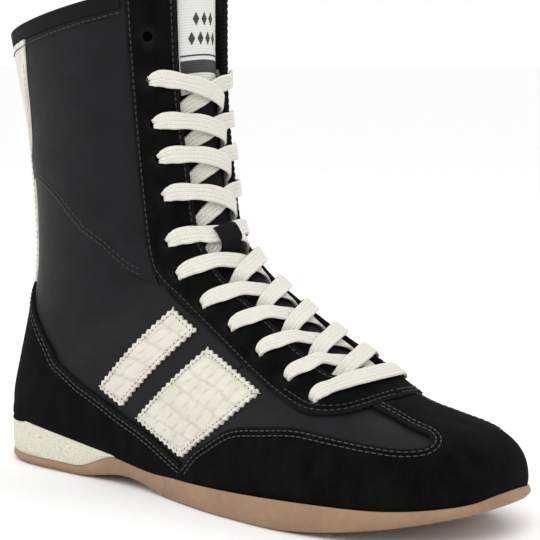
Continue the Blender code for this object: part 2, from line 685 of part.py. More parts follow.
def cross_over(row, side):
    """From outside one eyelet, down across the tongue, to inside the next row's opposite one.
    Strands from the lateral eyelets lie on top."""
    start, end = EYELET_RIBS[row], EYELET_RIBS[row + 1]
    over = lace_depth()
    under = INSIDE_LACE_DEPTH
    spacing = np.linalg.norm(SURFACE.at(start, 0) - SURFACE.at(end, 0))
    flat = (min(LACE_WIDTH, LACE_FILL * spacing), LACE_THICKNESS)
    if side < 0:
        heights = (over, over, 0.8 * over, 0.6 * over, 0.55 * over, 0.25 * over, under)
    else:
        heights = (over, 0.1 * over, -0.15 * over, 0.35 * under, 0.4 * under, 0.6 * under, under)
    shares = (0.09, 0.22, 0.35, 0.49, 0.62, 0.75, 0.92)
    places = (0.125, 0.08, 0.04, 0.0, -0.04, -0.08, -0.13)
    if row == len(EYELET_RIBS) - 2:
        shares = (0.09, 0.21, 0.33, 0.45, 0.55, 0.65, 0.76)
        places = (0.125, 0.08, 0.04, 0.0, -0.035, -0.07, -0.12)
    ease = (LACE_EASE * flat[0], LACE_THICKNESS)
    half = ((0.5 + 0.5 * LACE_EASE) * flat[0], LACE_THICKNESS)
    sections = (ease, half, flat, flat, flat, half, ease)
    path = [(start - share * (start - end), side * s, height, section)
            for share, s, height, section in zip(shares, places, heights, sections)]
    return [(start, side * 0.18, over, ease)] + path + [(end, -side * 0.18, under, ease)]


def bottom_bar():
    """The lowest row, straight across on top."""
    flat = (LACE_WIDTH, LACE_THICKNESS)
    t, over = EYELET_RIBS[-1], lace_depth()
    return [(t - share, s, over + lift, flat)
            for s, share, lift in ((-0.18, 0.03, 0.2), (-0.12, 0.1, 0.4), (-0.06, 0.16, 0.6),
                                   (0.0, 0.18, 0.6), (0.06, 0.16, 0.6), (0.12, 0.1, 0.4),
                                   (0.18, 0.03, 0.2))]


def lace_tail(side):
    """The end of the lace, tucked between the facing and the tongue."""
    t = EYELET_RIBS[0]
    bunch = (LACE_BUNCH_WIDTH, LACE_BUNCH_THICKNESS)
    return [(t + LACE_TAIL_RIBS, side * 0.18, INSIDE_LACE_DEPTH, bunch),
            (t + 0.5 * LACE_TAIL_RIBS, side * 0.18, INSIDE_LACE_DEPTH, bunch),
            (t + 0.08, side * 0.185, INSIDE_LACE_DEPTH, bunch)]


def lace_route():
    """The whole lace from the lateral end, as (t, s, depth, section) places."""
    last = len(EYELET_RIBS) - 1
    half = []
    for first in (-1, 1):
        route = lace_tail(first)
        side = first
        for row in range(last):
            route += through_eyelet(row, side, inwards=False) + cross_over(row, side)
            side = -side
        half.append(route + through_eyelet(last, side, inwards=False))
    down, up = half
    if down[-1][1] > 0:
        return down + bottom_bar()[::-1] + up[::-1]
    return down + bottom_bar() + up[::-1]


def lace_width_axis(ahead, normal, previous):
    """Direction of the lace's width: flat on the surface, or carried on through an eyelet."""
    flat = ahead - normal * np.dot(ahead, normal)
    if previous is None or np.linalg.norm(flat) > 0.5:
        wide = np.cross(normal, flat)
    else:
        wide = previous - ahead * np.dot(previous, ahead)
    wide /= np.linalg.norm(wide)
    return -wide if previous is not None and np.dot(wide, previous) < 0 else wide


def make_lace():
    route = lace_route()
    points = [SURFACE.at(t, s, depth) for t, s, depth, _ in route]
    rings = []
    wide = None
    for i, (t, s, _, (width, thickness)) in enumerate(route):
        ahead = points[min(i + 1, len(points) - 1)] - points[max(i - 1, 0)]
        ahead /= np.linalg.norm(ahead)
        wide = lace_width_axis(ahead, SURFACE.read(t, s)[1], wide)
        thick = np.cross(ahead, wide)
        over, up = wide * width / 2, thick * thickness / 2
        rings.append([points[i] + over + up, points[i] - over + up,
                      points[i] - over - up, points[i] + over - up])
    loft("lace", CREAM_LACE, rings)


def make_hinge():
    """An empty on the axis about which the tongue's free top part tilts back."""
    hinge = bpy.data.objects.new("tongue_hinge", None)
    middle = SURFACE.at(TONGUE_HINGE_RIB, 0.5 * TONGUE_EDGE_S, (TONGUE_SHELL[1] + TONGUE_LINING[0]) / 2)
    hinge.location = Vector((middle[0], 0.0, middle[2])) * MM
    bpy.context.scene.collection.objects.link(hinge)
    return hinge


def centre_on_floor():
    """Put the origin under the middle of the whole boot's box."""
    bpy.context.view_layer.update()
    corners = np.array([made.matrix_world @ vertex.co for made in bpy.data.objects
                        if made.type == "MESH" for vertex in made.data.vertices])
    low, high = corners.min(axis=0), corners.max(axis=0)
    for made in bpy.data.objects:
        if made.parent is None:
            made.location -= Vector(((low[0] + high[0]) / 2, (low[1] + high[1]) / 2, low[2]))


def main():
    for old in list(bpy.data.objects):
        bpy.data.objects.remove(old, do_unlink=True)
    make_outsole()
    make_heel_wedge()
    make_insole()
    make_base_panels()
    make_toe_cap()
    make_heel()
    make_side_bars()
    make_eyestay()
    make_lining()
    make_collar_binding()
    make_tongue(make_hinge())
    make_lace_keeper()
    make_lace()
    centre_on_floor()


main()
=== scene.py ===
import math

import bpy
import numpy as np
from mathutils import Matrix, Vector, kdtree
from mathutils.geometry import delaunay_2d_cdt


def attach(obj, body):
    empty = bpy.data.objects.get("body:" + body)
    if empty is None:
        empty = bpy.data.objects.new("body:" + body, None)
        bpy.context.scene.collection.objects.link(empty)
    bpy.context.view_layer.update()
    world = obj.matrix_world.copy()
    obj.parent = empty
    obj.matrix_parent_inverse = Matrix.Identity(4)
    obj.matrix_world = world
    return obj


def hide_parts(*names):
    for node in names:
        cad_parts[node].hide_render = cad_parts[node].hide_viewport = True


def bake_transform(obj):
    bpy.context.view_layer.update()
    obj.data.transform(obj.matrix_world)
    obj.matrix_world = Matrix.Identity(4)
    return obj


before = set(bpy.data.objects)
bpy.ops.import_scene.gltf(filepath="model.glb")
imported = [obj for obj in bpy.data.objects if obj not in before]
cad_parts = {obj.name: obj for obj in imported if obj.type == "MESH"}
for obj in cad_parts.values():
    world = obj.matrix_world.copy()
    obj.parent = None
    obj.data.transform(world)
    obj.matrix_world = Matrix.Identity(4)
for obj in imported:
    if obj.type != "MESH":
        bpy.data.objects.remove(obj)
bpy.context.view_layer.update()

# Lengths are in millimetres until a mesh is made. A place on the upper is (t, s): t is the rib
# number, 0 at the toe to 13 above the collar, and s runs round from the front ridge (0) to the sole
# edge or back line (-1 lateral, +1 medial). Depths run along the surface normal, outwards.
MM = 0.001
MIDDLE = np.array([-0.625, 0.999, 0.0])
RIBS = np.array([
    [115, 44, 137, 19, 0, 0, 0, 0, 0.80, 1.0, 2.2, 2.0],
    [112, 45, 130, 16, 24, 24, 25, 25, 0.80, 1.0, 2.2, 2.0],
    [103, 47, 105, 13, 39, 39, 42, 42, 0.78, 0.8, 2.2, 2.0],
    [85, 53, 66, 12, 46, 43, 48, 46, 0.75, 0.2, 2.1, 2.0],
    [67, 65, 24, 10, 43, 37, 46, 42, 0.70, 0.0, 2.1, 2.1],
    [47, 76, -20, 9, 35, 30, 40, 38, 0.62, 0.0, 2.1, 2.3],
    [28, 88, -64, 15, 31, 29, 36, 35, 0.58, 0.0, 2.0, 2.5],
    [9, 101, -115, 21, 28, 26, 35, 34, 0.56, 0.0, 2.0, 2.6],
    [-3, 114, -138, 22, 0, 0, 33, 33, 0.55, 0.0, 2.0, 2.6],
    [-10, 124, -135, 42, 0, 0, 33, 33, 0.52, 0.0, 2.0, 2.5],
    [-16, 149, -122, 92, 0, 0, 34, 34, 0.50, 0.0, 2.0, 2.3],
    [-21, 182, -124, 145, 0, 0, 37, 37, 0.50, 0.0, 2.0, 2.1],
    [-22, 231, -136, 205, 0, 0, 40, 40, 0.50, 0.0, 2.0, 2.1],
    [-22, 275, -143, 250, 0, 0, 42, 42, 0.50, 0.0, 2.0, 2.1],
])
TOE_TUCK, TOE_TUCK_FROM_X, TOE_TUCK_OVER = 3.0, 90.0, 45.0
SOLE_RIB, TOP_RIB = 8.0, 13.0
T_MM, S_MM = 21.0, 135.0
NET_T, NET_S = 0.1, 0.02

LINING_OUT, LINING_IN = -3.3, -4.3
BASE_OUT, BASE_THICKNESS = -0.1, 1.0
SUEDE_OUT, SUEDE_THICKNESS = 1.7, 1.8
BACK_PANEL_OUT, BACK_PANEL_THICKNESS = 0.9, 1.0
BAR_OUT, BAR_THICKNESS = 1.15, 1.25
THREAD_RISE = 0.05
EYELET_RIBS = (11.20, 10.75, 10.30, 9.77, 9.02, 7.78, 6.78, 6.07, 5.28, 4.48, 3.78)
EMPTY_EYELET_RIB = 11.58
EYELET_S, EYELET_RADIUS = 0.23, 2.3
THROAT_S, THROAT_RIB = 0.14, 3.72
LACE_WIDTH, LACE_THICKNESS = 8.1, 1.5
KEEPER_ROW, KEEPER_ASIDE = 4, -0.052
FIRST_MEDIAL_ROW = 5
BUNCH_WIDTH, BUNCH_THICKNESS = 4.4, 2.7
INSIDE_LACE = -2.7

# Half widths are squared for the interpolation, so that a rounded end closes square to its axis.
SQUARED = np.hstack([RIBS[:, :4], RIBS[:, 4:8] ** 2, RIBS[:, 8:]])
SLOPES = np.gradient(SQUARED, axis=0)


def hermite(a, b, slope_a, slope_b, u):
    """Cubic from a to b with these slopes at its ends, for u from 0 to 1."""
    return (a * (2 * u**3 - 3 * u**2 + 1) + slope_a * (u**3 - 2 * u**2 + u)
            + b * (3 * u**2 - 2 * u**3) + slope_b * (u**3 - u**2))


def surface(t, s):
    """Points of the upper's outer face at arrays of (t, s)."""
    t, s = np.broadcast_arrays(np.asarray(t, float), np.asarray(s, float))
    i = np.clip(t.astype(int), 0, len(RIBS) - 2)
    u = (t - i)[..., None]
    row = hermite(SQUARED[i], SQUARED[i + 1], SLOPES[i], SLOPES[i + 1], u)
    ridge_x, ridge_z, edge_x, edge_z = (row[..., k] for k in range(4))
    edge_y = np.sqrt(np.maximum(np.where(s < 0, row[..., 4], row[..., 5]), 0))
    wide_y = np.sqrt(np.maximum(np.where(s < 0, row[..., 6], row[..., 7]), 0))
    share, fan, round_up, round_down = (row[..., k] for k in range(8, 12))
    tuck = TOE_TUCK * fan * np.clip((edge_x - TOE_TUCK_FROM_X) / TOE_TUCK_OVER, 0, 1)
    wide_x = ridge_x + (edge_x - ridge_x) * ((1 - fan) * share + fan) + tuck
    wide_z = ridge_z + share * (edge_z - ridge_z)
    r = np.abs(s)
    upper = np.pi * np.minimum(r, 0.5)
    out = np.sin(upper) ** (2 / round_up)
    down = 1 - np.abs(np.cos(upper)) ** (2 / round_up)
    lower = np.pi * np.maximum(r - 0.5, 0)
    along = np.sin(lower) ** (2 / round_down)
    inwards = 1 - np.abs(np.cos(lower)) ** (2 / round_down)
    reach = (1 - fan) * (edge_x - wide_x)
    above = r <= 0.5
    x = np.where(above, ridge_x + (wide_x - ridge_x) * (fan * out + (1 - fan) * down),
                 wide_x - (wide_x + reach - edge_x) * inwards + reach * along)
    y = np.where(above, wide_y * out, wide_y - (wide_y - edge_y) * inwards)
    z = np.where(above, ridge_z + (wide_z - ridge_z) * down, wide_z + (edge_z - wide_z) * along)
    return np.stack([x, np.copysign(y, s), z], axis=-1) + MIDDLE


def stretch(t, s):
    """How the surface's point moves with t and with s."""
    step = 2e-3
    ahead, behind = np.minimum(t + step, TOP_RIB), np.maximum(t - step, 0)
    right, left = np.minimum(s + step, 1), np.maximum(s - step, -1)
    by_t = (surface(ahead, s) - surface(behind, s)) / (ahead - behind)[..., None]
    by_s = (surface(t, right) - surface(t, left)) / (right - left)[..., None]
    return by_t, by_s


def unit(vectors):
    return vectors / np.maximum(np.linalg.norm(vectors, axis=-1, keepdims=True), 1e-12)


def normals(t, s):
    """Outward normals, level at the sole edge so that every layer meets the sole upright."""
    t, s = np.broadcast_arrays(np.asarray(t, float), np.asarray(s, float))
    low = np.clip((SOLE_RIB + 0.3 - t) / 0.4, 0, 1)
    limit = np.where(low > 0.5, 0.93, 0.997)
    by_t, by_s = stretch(np.maximum(t, 0.03), np.clip(s, -limit, limit))
    normal = unit(np.cross(by_s, by_t))
    level = 1 - low * (1 - np.clip((1 - np.abs(s)) / 0.1, 0, 1))
    normal[..., 2] *= level
    seam = (t < 0.005) | ((np.abs(s) > 0.9995) & (t >= SOLE_RIB))
    normal[..., 1] = np.where(seam, 0, normal[..., 1])
    return unit(normal)


def at(t, s, depth):
    depth = np.broadcast_to(np.asarray(depth, float), np.shape(t))
    return surface(t, s) + normals(t, s) * depth[..., None]


def curve(*points, step=1.4):
    """Smooth path through (t, s) points, about one step apart."""
    points = np.array(points, float)
    lengths = np.linalg.norm(np.diff(points, axis=0) * (T_MM, S_MM), axis=1)
    where = np.concatenate([[0], np.cumsum(lengths)])
    tangents = np.gradient(points, where, axis=0)
    path = []
    for i, length in enumerate(lengths):
        count = max(int(length / step), 1)
        for u in np.arange(count) / count:
            path.append(hermite(points[i], points[i + 1], tangents[i] * length,
                                tangents[i + 1] * length, u))
    return np.array([*path, points[-1]])


def joined(*paths):
    """One path from several that meet end to end."""
    loop = [paths[0][0]]
    for path in paths:
        loop += [place for place in path if np.abs(place - loop[-1]).max() > 1e-6]
    if np.abs(loop[0] - loop[-1]).max() < 1e-6:
        loop.pop()
    return np.array(loop)


def flipped(path):
    return path * (1, -1)


def across(path):
    """A loop closed through the path's mirror image, for a piece over the front ridge."""
    return joined(path, flipped(path)[::-1])


def shifted(path, distance):
    """A path moved sideways on the surface, to the left of its travel when positive."""
    t, s = path[:, 0], path[:, 1]
    along = unit(np.gradient(surface(t, s), axis=0))
    sideways = np.cross(normals(t, s), along) * distance
    by_t, by_s = stretch(t, s)
    a, b, c = ((x * y).sum(-1) for x, y in ((by_t, by_t), (by_t, by_s), (by_s, by_s)))
    p, q = (by_t * sideways).sum(-1), (by_s * sideways).sum(-1)
    det = a * c - b * b
    return path + np.stack([(p * c - q * b) / det, (q * a - p * b) / det], axis=-1)


def both_ways(paths):
    """The paths and their mirror images on the other side."""
    return paths + [flipped(path) for path in paths]


def tree_of(points):
    tree = kdtree.KDTree(len(points))
    for i, point in enumerate(points):
        tree.insert(point, i)
    tree.balance()
    return tree


def inside(loops, places):
    """Even-odd test of (t, s) places against closed loops."""
    t, s = places[:, 0, None], places[:, 1, None]
    found = np.zeros(len(places), int)
    for loop in loops:
        a, b = loop, np.roll(loop, -1, axis=0)
        rise = np.where(b[:, 0] == a[:, 0], 1e-12, b[:, 0] - a[:, 0])
        crosses = (a[:, 0] > t) != (b[:, 0] > t)
        found += (crosses & (s < a[:, 1] + (t - a[:, 0]) * (b[:, 1] - a[:, 1]) / rise)).sum(1)
    return found % 2 == 1


def net(loops, fine=1.0):
    """Triangles filling closed loops of (t, s), with extra points on an even net inside."""
    every = np.concatenate(loops)
    low, high = every.min(0), every.max(0)
    step_t, step_s = NET_T * fine, NET_S * fine
    rows = np.arange(math.floor(low[0] / step_t), math.ceil(high[0] / step_t) + 1) * step_t
    columns = np.arange(math.floor(low[1] / step_s), math.ceil(high[1] / step_s) + 1) * step_s
    grid = np.array(np.meshgrid(rows, columns)).reshape(2, -1).T
    grid = grid[inside(loops, grid)]
    tree = tree_of([(t * T_MM, s * S_MM, 0) for t, s in every])
    clear = 0.45 * step_t * T_MM
    grid = [p for p in grid if tree.find((p[0] * T_MM, p[1] * S_MM, 0))[2] > clear]
    places = np.array([*every, *grid])
    edges, first = [], 0
    for loop in loops:
        edges += [(first + i, first + (i + 1) % len(loop)) for i in range(len(loop))]
        first += len(loop)
    flat = [Vector((s * S_MM, t * T_MM)) for t, s in places]
    made = delaunay_2d_cdt(flat, edges, [], 0, 1e-5)
    spots = np.array([(p.y / T_MM, p.x / S_MM) for p in made[0]])
    faces = np.array([face for face in made[2] if len(face) == 3])
    faces = faces[inside(loops, spots[faces].mean(1))]
    return np.clip(spots, (0, -1), (TOP_RIB, 1)), faces


def welded(points, faces):
    """The points to keep where several coincide, and the faces between them that stay whole."""
    _, first, index = np.unique(np.round(points, 3) + 0.0, axis=0, return_index=True,
                                return_inverse=True)
    faces = index.reshape(-1)[faces]
    good = ((faces[:, 0] != faces[:, 1]) & (faces[:, 1] != faces[:, 2])
            & (faces[:, 0] != faces[:, 2]))
    return first, faces[good]


def face_normals(points, faces):
    a, b, c = (points[faces[:, k]] for k in range(3))
    crossed = np.cross(b - a, c - a)
    total = np.zeros_like(points)
    for k in range(3):
        np.add.at(total, faces[:, k], crossed)
    return unit(total)


def rim_of(faces):
    """Directed boundary edges."""
    edges = np.concatenate([faces[:, [0, 1]], faces[:, [1, 2]], faces[:, [2, 0]]])
    seen = {tuple(edge) for edge in edges.tolist()}
    return [(a, b) for a, b in seen if (b, a) not in seen]


def add_piece(name, points, faces, material, body, marks=None, sharp=50):
    """A mesh in millimetres as a shaded piece riding on a body. marks are per-point attributes."""
    mesh = bpy.data.meshes.new(name)
    mesh.from_pydata((np.asarray(points) * MM).tolist(), [], [list(map(int, f)) for f in faces])
    for label, values in (marks or {}).items():
        values = np.asarray(values, np.float32)
        kind = "FLOAT" if values.ndim == 1 else "FLOAT_VECTOR"
        layer = mesh.attributes.new(label, kind, "POINT")
        layer.data.foreach_set("value" if kind == "FLOAT" else "vector", values.ravel())
    mesh.shade_smooth()
    mesh.set_sharp_from_angle(angle=math.radians(sharp))
    for look in material if isinstance(material, (list, tuple)) else [material]:
        mesh.materials.append(look)
    piece = bpy.data.objects.new(name, mesh)
    bpy.context.scene.collection.objects.link(piece)
    if body:
        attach(piece, body)
    return piece


def relaxed(points, faces, fixed, rounds):
    """Points drawn towards the middle of their neighbours, apart from the fixed ones."""
    ends = np.concatenate([faces[:, [0, 1]], faces[:, [1, 2]], faces[:, [2, 0]]])
    free = np.ones(len(points), bool)
    free[list(fixed)] = False
    for _ in range(rounds):
        total, count = np.zeros_like(points), np.zeros(len(points))
        for a, b in ((0, 1), (1, 0)):
            np.add.at(total, ends[:, a], points[ends[:, b]])
            np.add.at(count, ends[:, a], 1)
        even = total / np.maximum(count, 1)[:, None]
        points = np.where(free[:, None], (points + even) / 2, points)
    return points


def shell(name, loops, material, outer, thickness, lip=0.45, fine=1.0, body="boot", relief=None,
          backing=None, rounds=0):
    """A panel with a rounded edge: outer and relief are depths, or functions of arrays of (t, s)."""
    places, faces = net(loops, fine)
    t, s = places[:, 0], places[:, 1]
    depth = outer(t, s) if callable(outer) else np.full(len(t), float(outer))
    first, faces = welded(surface(t, s), faces)
    places, t, s, depth = places[first], t[first], s[first], depth[first]
    base, up = surface(t, s), normals(t, s)
    edges = rim_of(faces)
    rim = sorted({corner for edge in edges for corner in edge})
    tree = tree_of(base[rim])
    away = np.array([tree.find(point)[2] for point in base])
    if relief is not None:
        depth = depth + relief(t, s) * np.clip(away / 1.5, 0, 1)
    points = relaxed(base + up * depth[:, None], faces, rim, rounds)
    # The rounded edge: each rim point drops by the lip and a copy of it goes inwards at full height.
    order = {corner: i for i, corner in enumerate(rim)}
    inward = np.zeros((len(rim), 3))
    for a, b in edges:
        across_edge = np.cross(up[a] + up[b], points[b] - points[a])
        across_edge /= max(np.linalg.norm(across_edge), 1e-9)
        inward[order[a]] += across_edge
        inward[order[b]] += across_edge
    inner = points[rim] + unit(inward) * lip * 0.9
    swap = np.arange(len(points))
    swap[rim] = len(points) + np.arange(len(rim))
    lipped = points.copy()
    lipped[rim] -= up[rim] * lip
    top = np.concatenate([lipped, inner])
    top_faces = [tuple(face) for face in swap[faces]]
    top_faces += [(a, b, swap[b], swap[a]) for a, b in edges]
    under = points - face_normals(points, faces) * thickness
    offset = len(top)
    low_faces = [tuple(offset + face[::-1]) for face in faces]
    sides = [(b, a, offset + a, offset + b) for a, b in edges]
    every = np.concatenate([top, under])
    cloth = np.stack([t * T_MM, s * S_MM, np.zeros(len(t))], axis=1)
    marks = {"cloth": np.concatenate([cloth, cloth[rim], cloth]),
             "edge": np.concatenate([np.clip(1 - away / 2.5, 0, 1), np.full(len(rim), 0.8),
                                     np.zeros(len(t))]),
             "relief": np.concatenate([relief(t, s), relief(t[rim], s[rim]), np.zeros(len(t))])
             if relief is not None else np.zeros(len(every))}
    looks = [material, backing] if backing else material
    piece = add_piece(name, every, top_faces + low_faces + sides, looks, body, marks)
    if backing:
        for face in piece.data.polygons[len(top_faces):]:
            face.material_index = 1
    return piece


def ring_faces(count, corners):
    """Quads between this many rings of corners, numbered ring by ring."""
    faces = []
    for i in range(count - 1):
        for j in range(corners):
            k = (j + 1) % corners
            faces.append((i * corners + j, i * corners + k, (i + 1) * corners + k,
                          (i + 1) * corners + j))
    return faces


def capped_faces(count, corners):
    last = (count - 1) * corners
    return ring_faces(count, corners) + [tuple(range(corners))[::-1],
                                         tuple(last + j for j in range(corners))]


def cloth_of(lengths, around):
    """Cloth coordinates of a sweep's corners: along it, and round its section."""
    return np.stack([np.repeat(lengths, len(around)), np.tile(around, len(lengths)),
                     np.zeros(len(lengths) * len(around))], axis=1)


def two_faced(upper):
    """A closed section from its upper half, the lower half being its mirror image."""
    return np.concatenate([upper, (upper * (1, -1))[::-1][1:-1]])


def smoothed(points, rounds):
    """Points of a line drawn towards their neighbours, apart from its two ends."""
    for _ in range(rounds):
        points[1:-1] = (points[:-2] + 2 * points[1:-1] + points[2:]) / 4
    return points


def tube(name, centres, wide, thick, section, material, body="boot", marks=None, sharp=50):
    """A sweep: each ring is the section's (across, up) corners, scaled by the frame's two axes."""
    count, corners = len(centres), section.shape[-2]
    section = np.broadcast_to(section, (count, corners, 2))
    points = (centres[:, None] + wide[:, None] * section[..., :1] + thick[:, None] * section[..., 1:])
    faces = capped_faces(count, corners)
    flat = points.reshape(-1, 3)
    area = 0.0
    for face in faces[:corners * 4]:
        a, b, c = (flat[k] for k in face[:3])
        area += np.dot(np.cross(b - a, c - a), a + b + c - 3 * centres[face[0] // corners])
    if area < 0:
        faces = [face[::-1] for face in faces]
    return add_piece(name, flat, faces, material, body, marks, sharp)


def arc_lengths(points):
    return np.concatenate([[0], np.cumsum(np.linalg.norm(np.diff(points, axis=0), axis=1))])


def stitches(name, paths, depth, material, pitch=2.9, length=2.2, radius=0.3, body="boot",
             phase=0.5):
    """Rows of thread: each stitch is a small bead lying along its path."""
    corners = 6
    ring = [(math.cos(a), math.sin(a)) for a in np.arange(corners) * math.pi / 3]
    shape = ((-0.5, 0.25), (-0.38, 0.85), (0.0, 1.0), (0.38, 0.85), (0.5, 0.25))
    bead = capped_faces(len(shape), corners)
    points, faces = [], []
    for path in paths:
        t, s = path[:, 0], path[:, 1]
        row_points = at(t, s, depth)
        where = arc_lengths(row_points)
        up = normals(t, s)
        for k in range(int(where[-1] / pitch)):
            middle = (k + phase) * pitch
            ends = [np.array([np.interp(middle + d, where, row_points[:, c]) for c in range(3)])
                    for d in (-length / 2, length / 2)]
            normal = unit(np.array([np.interp(middle, where, up[:, c]) for c in range(3)]))
            ahead = ends[1] - ends[0]
            side = unit(np.cross(normal, ahead))
            first = len(points)
            for share, swell in shape:
                centre = (ends[0] + ends[1]) / 2 + ahead * share
                centre = centre + normal * 0.12 * (swell - 0.5)
                points += [centre + (side * c + normal * q * 0.8) * radius * swell for c, q in ring]
            faces += [tuple(first + corner for corner in face) for face in bead]
    return add_piece(name, np.array(points), faces, material, body)


# Materials

class Look:
    """A procedural material: a Principled shader with helpers for its node tree."""

    def __init__(self, name, colour, roughness, gloss=0.5, **sockets):
        self.material = bpy.data.materials.new(name)
        self.material.use_nodes = True
        self.nodes = self.material.node_tree.nodes
        self.links = self.material.node_tree.links
        self.shader = self.nodes["Principled BSDF"]
        self.shader.inputs["Base Color"].default_value = (*colour, 1)
        self.shader.inputs["Roughness"].default_value = roughness
        self.shader.inputs["Specular IOR Level"].default_value = gloss
        for socket, value in sockets.items():
            self.shader.inputs[socket.replace("_", " ").title()].default_value = value
        self.bump = None

    def add(self, kind, **settings):
        node = self.nodes.new(kind)
        for key, value in settings.items():
            if key.startswith("in_"):
                node.inputs[key[3:].replace("_", " ").title()].default_value = value
            else:
                setattr(node, key, value)
        return node

    def mark(self, label):
        return self.add("ShaderNodeAttribute", attribute_name=label)

    def place(self, scale=(1, 1, 1), cloth=False):
        """Coordinates in millimetres, of the object or along the cloth."""
        mapping = self.add("ShaderNodeMapping")
        mapping.inputs["Scale"].default_value = scale
        if cloth:
            self.links.new(self.mark("cloth").outputs["Vector"], mapping.inputs["Vector"])
        else:
            mapping.inputs["Scale"].default_value = [value / MM for value in scale]
            source = self.add("ShaderNodeTexCoord")
            self.links.new(source.outputs["Object"], mapping.inputs["Vector"])
        return mapping.outputs["Vector"]

    def noise(self, size, detail=3.0, where=None):
        node = self.add("ShaderNodeTexNoise", in_scale=1.0 / size, in_detail=detail)
        self.links.new(where or self.place(), node.inputs["Vector"])
        return node.outputs["Fac"]

    def waves(self, period, where, direction="X", distortion=0.0):
        node = self.add("ShaderNodeTexWave", bands_direction=direction,
                        in_scale=math.pi / (10 * period), in_distortion=distortion)
        self.links.new(where, node.inputs["Vector"])
        return node.outputs["Fac"]

    def maths(self, operation, a, b=0.0):
        node = self.add("ShaderNodeMath", operation=operation)
        for socket, value in zip(node.inputs, (a, b)):
            if isinstance(value, (int, float)):
                socket.default_value = value
            else:
                self.links.new(value, socket)
        return node.outputs["Value"]

    def ramp(self, factor, stops):
        node = self.add("ShaderNodeValToRGB")
        elements = node.color_ramp.elements
        while len(elements) < len(stops):
            elements.new(0.5)
        for element, (where, colour) in zip(elements, stops):
            element.position = where
            element.color = (*colour, 1)
        self.links.new(factor, node.inputs["Fac"])
        return node.outputs["Color"]

    def mix(self, factor, a, b, blend="MIX"):
        node = self.add("ShaderNodeMix", data_type="RGBA", blend_type=blend)
        for socket, value in ((0, factor), (6, a), (7, b)):
            self.join(value, node.inputs[socket])
        return node.outputs[2]

    def join(self, value, socket):
        if isinstance(value, bpy.types.NodeSocket):
            self.links.new(value, socket)
        elif isinstance(value, (int, float)):
            socket.default_value = value
        else:
            socket.default_value = (*value, 1)

    def colour(self, value):
        self.links.new(value, self.shader.inputs["Base Color"])
        return self

    def rough(self, factor, low, high):
        node = self.add("ShaderNodeMapRange", in_to_min=low, in_to_max=high)
        self.links.new(factor, node.inputs["Value"])
        self.links.new(node.outputs["Result"], self.shader.inputs["Roughness"])
        return self

    def raise_by(self, height, distance, strength=1.0):
        """Adds a layer of bump of this many millimetres."""
        node = self.add("ShaderNodeBump", in_strength=strength, in_distance=distance * MM)
        self.links.new(height, node.inputs["Height"])
        if self.bump:
            self.links.new(self.bump, node.inputs["Normal"])
        self.bump = node.outputs["Normal"]
        self.links.new(self.bump, self.shader.inputs["Normal"])
        return self


def nylon():
    look = Look("nylon", (0.012, 0.012, 0.014), 0.5, 0.13, sheen_weight=0.01, sheen_roughness=0.4)
    where = look.place(cloth=True)
    weave = look.maths("MULTIPLY", look.waves(0.7, where, "X"), look.waves(0.7, where, "Y"))
    broad = look.noise(14.0)
    look.colour(look.ramp(look.maths("ADD", look.maths("MULTIPLY", broad, 0.7),
                                     look.maths("MULTIPLY", weave, 0.3)),
                          ((0.25, (0.0045, 0.0045, 0.0055)), (0.75, (0.0095, 0.0095, 0.0115)))))
    look.rough(look.noise(5.0), 0.42, 0.58)
    return look.raise_by(broad, 0.5, 0.5).raise_by(weave, 0.06, 0.8).material


def suede():
    look = Look("suede", (0.008, 0.008, 0.008), 0.95, 0.035, sheen_weight=0.008, sheen_roughness=0.5)
    nap = look.noise(0.55, 4.0)
    brushed = look.noise(9.0, 4.0, look.place((1, 1, 0.45)))
    mixed = look.maths("ADD", look.maths("MULTIPLY", nap, 0.55), look.maths("MULTIPLY", brushed, 0.45))
    dark = look.ramp(mixed, ((0.35, (0.0012, 0.0012, 0.0012)), (0.68, (0.0065, 0.0063, 0.006))))
    edge = look.maths("MULTIPLY", look.mark("edge").outputs["Fac"], look.noise(0.9))
    look.colour(look.mix(edge, dark, (0.016, 0.0155, 0.015)))
    look.rough(brushed, 0.88, 1.0)
    return look.raise_by(nap, 0.3, 0.8).material


def scale_leather():
    look = Look("scale_leather", (0.72, 0.69, 0.61), 0.42, coat_weight=0.05, coat_roughness=0.35)
    pores = look.noise(0.6, 2.0)
    tone = look.noise(7.0)
    pale = look.ramp(tone, ((0.3, (0.56, 0.53, 0.455)), (0.7, (0.63, 0.605, 0.53))))
    # Painted shade: the grooves between the embossed scales are darkened in the colour, towards (0.40,
    # 0.36, 0.28), on top of the grooves cut by the relief.
    painted_groove_shade = look.maths("MULTIPLY", look.mark("relief").outputs["Fac"], -1.5)
    look.colour(look.mix(look.maths("MINIMUM", painted_groove_shade, 0.75), pale, (0.40, 0.36, 0.28)))
    look.rough(tone, 0.38, 0.52)
    return look.raise_by(pores, 0.05, 0.6).material


def lace_cotton():
    look = Look("lace_cotton", (0.85, 0.83, 0.74), 0.85, sheen_weight=0.15)
    where = look.place(cloth=True)
    ribs = look.waves(0.95, where, "Y")
    picks = look.waves(0.62, where, "X", 0.6)
    tone = look.noise(3.0)
    thread = look.maths("ADD", look.maths("MULTIPLY", ribs, 0.5), look.maths("MULTIPLY", picks, 0.5))
    look.colour(look.mix(look.maths("MULTIPLY", tone, 0.35),
                         look.ramp(thread, ((0.05, (0.58, 0.55, 0.46)), (0.5, (0.80, 0.785, 0.71)))),
                         (0.76, 0.73, 0.63)))
    return look.raise_by(thread, 0.35, 1.0).material


def ribbed_tape():
    look = Look("ribbed_tape", (0.012, 0.012, 0.012), 0.72, 0.08, sheen_weight=0.01)
    ribs = look.waves(0.75, look.place(cloth=True), "X", 0.2)
    look.colour(look.ramp(ribs, ((0.1, (0.002, 0.002, 0.002)), (0.8, (0.010, 0.010, 0.0105)))))
    look.rough(look.noise(4.0), 0.62, 0.8)
    return look.raise_by(ribs, 0.18, 0.8).material


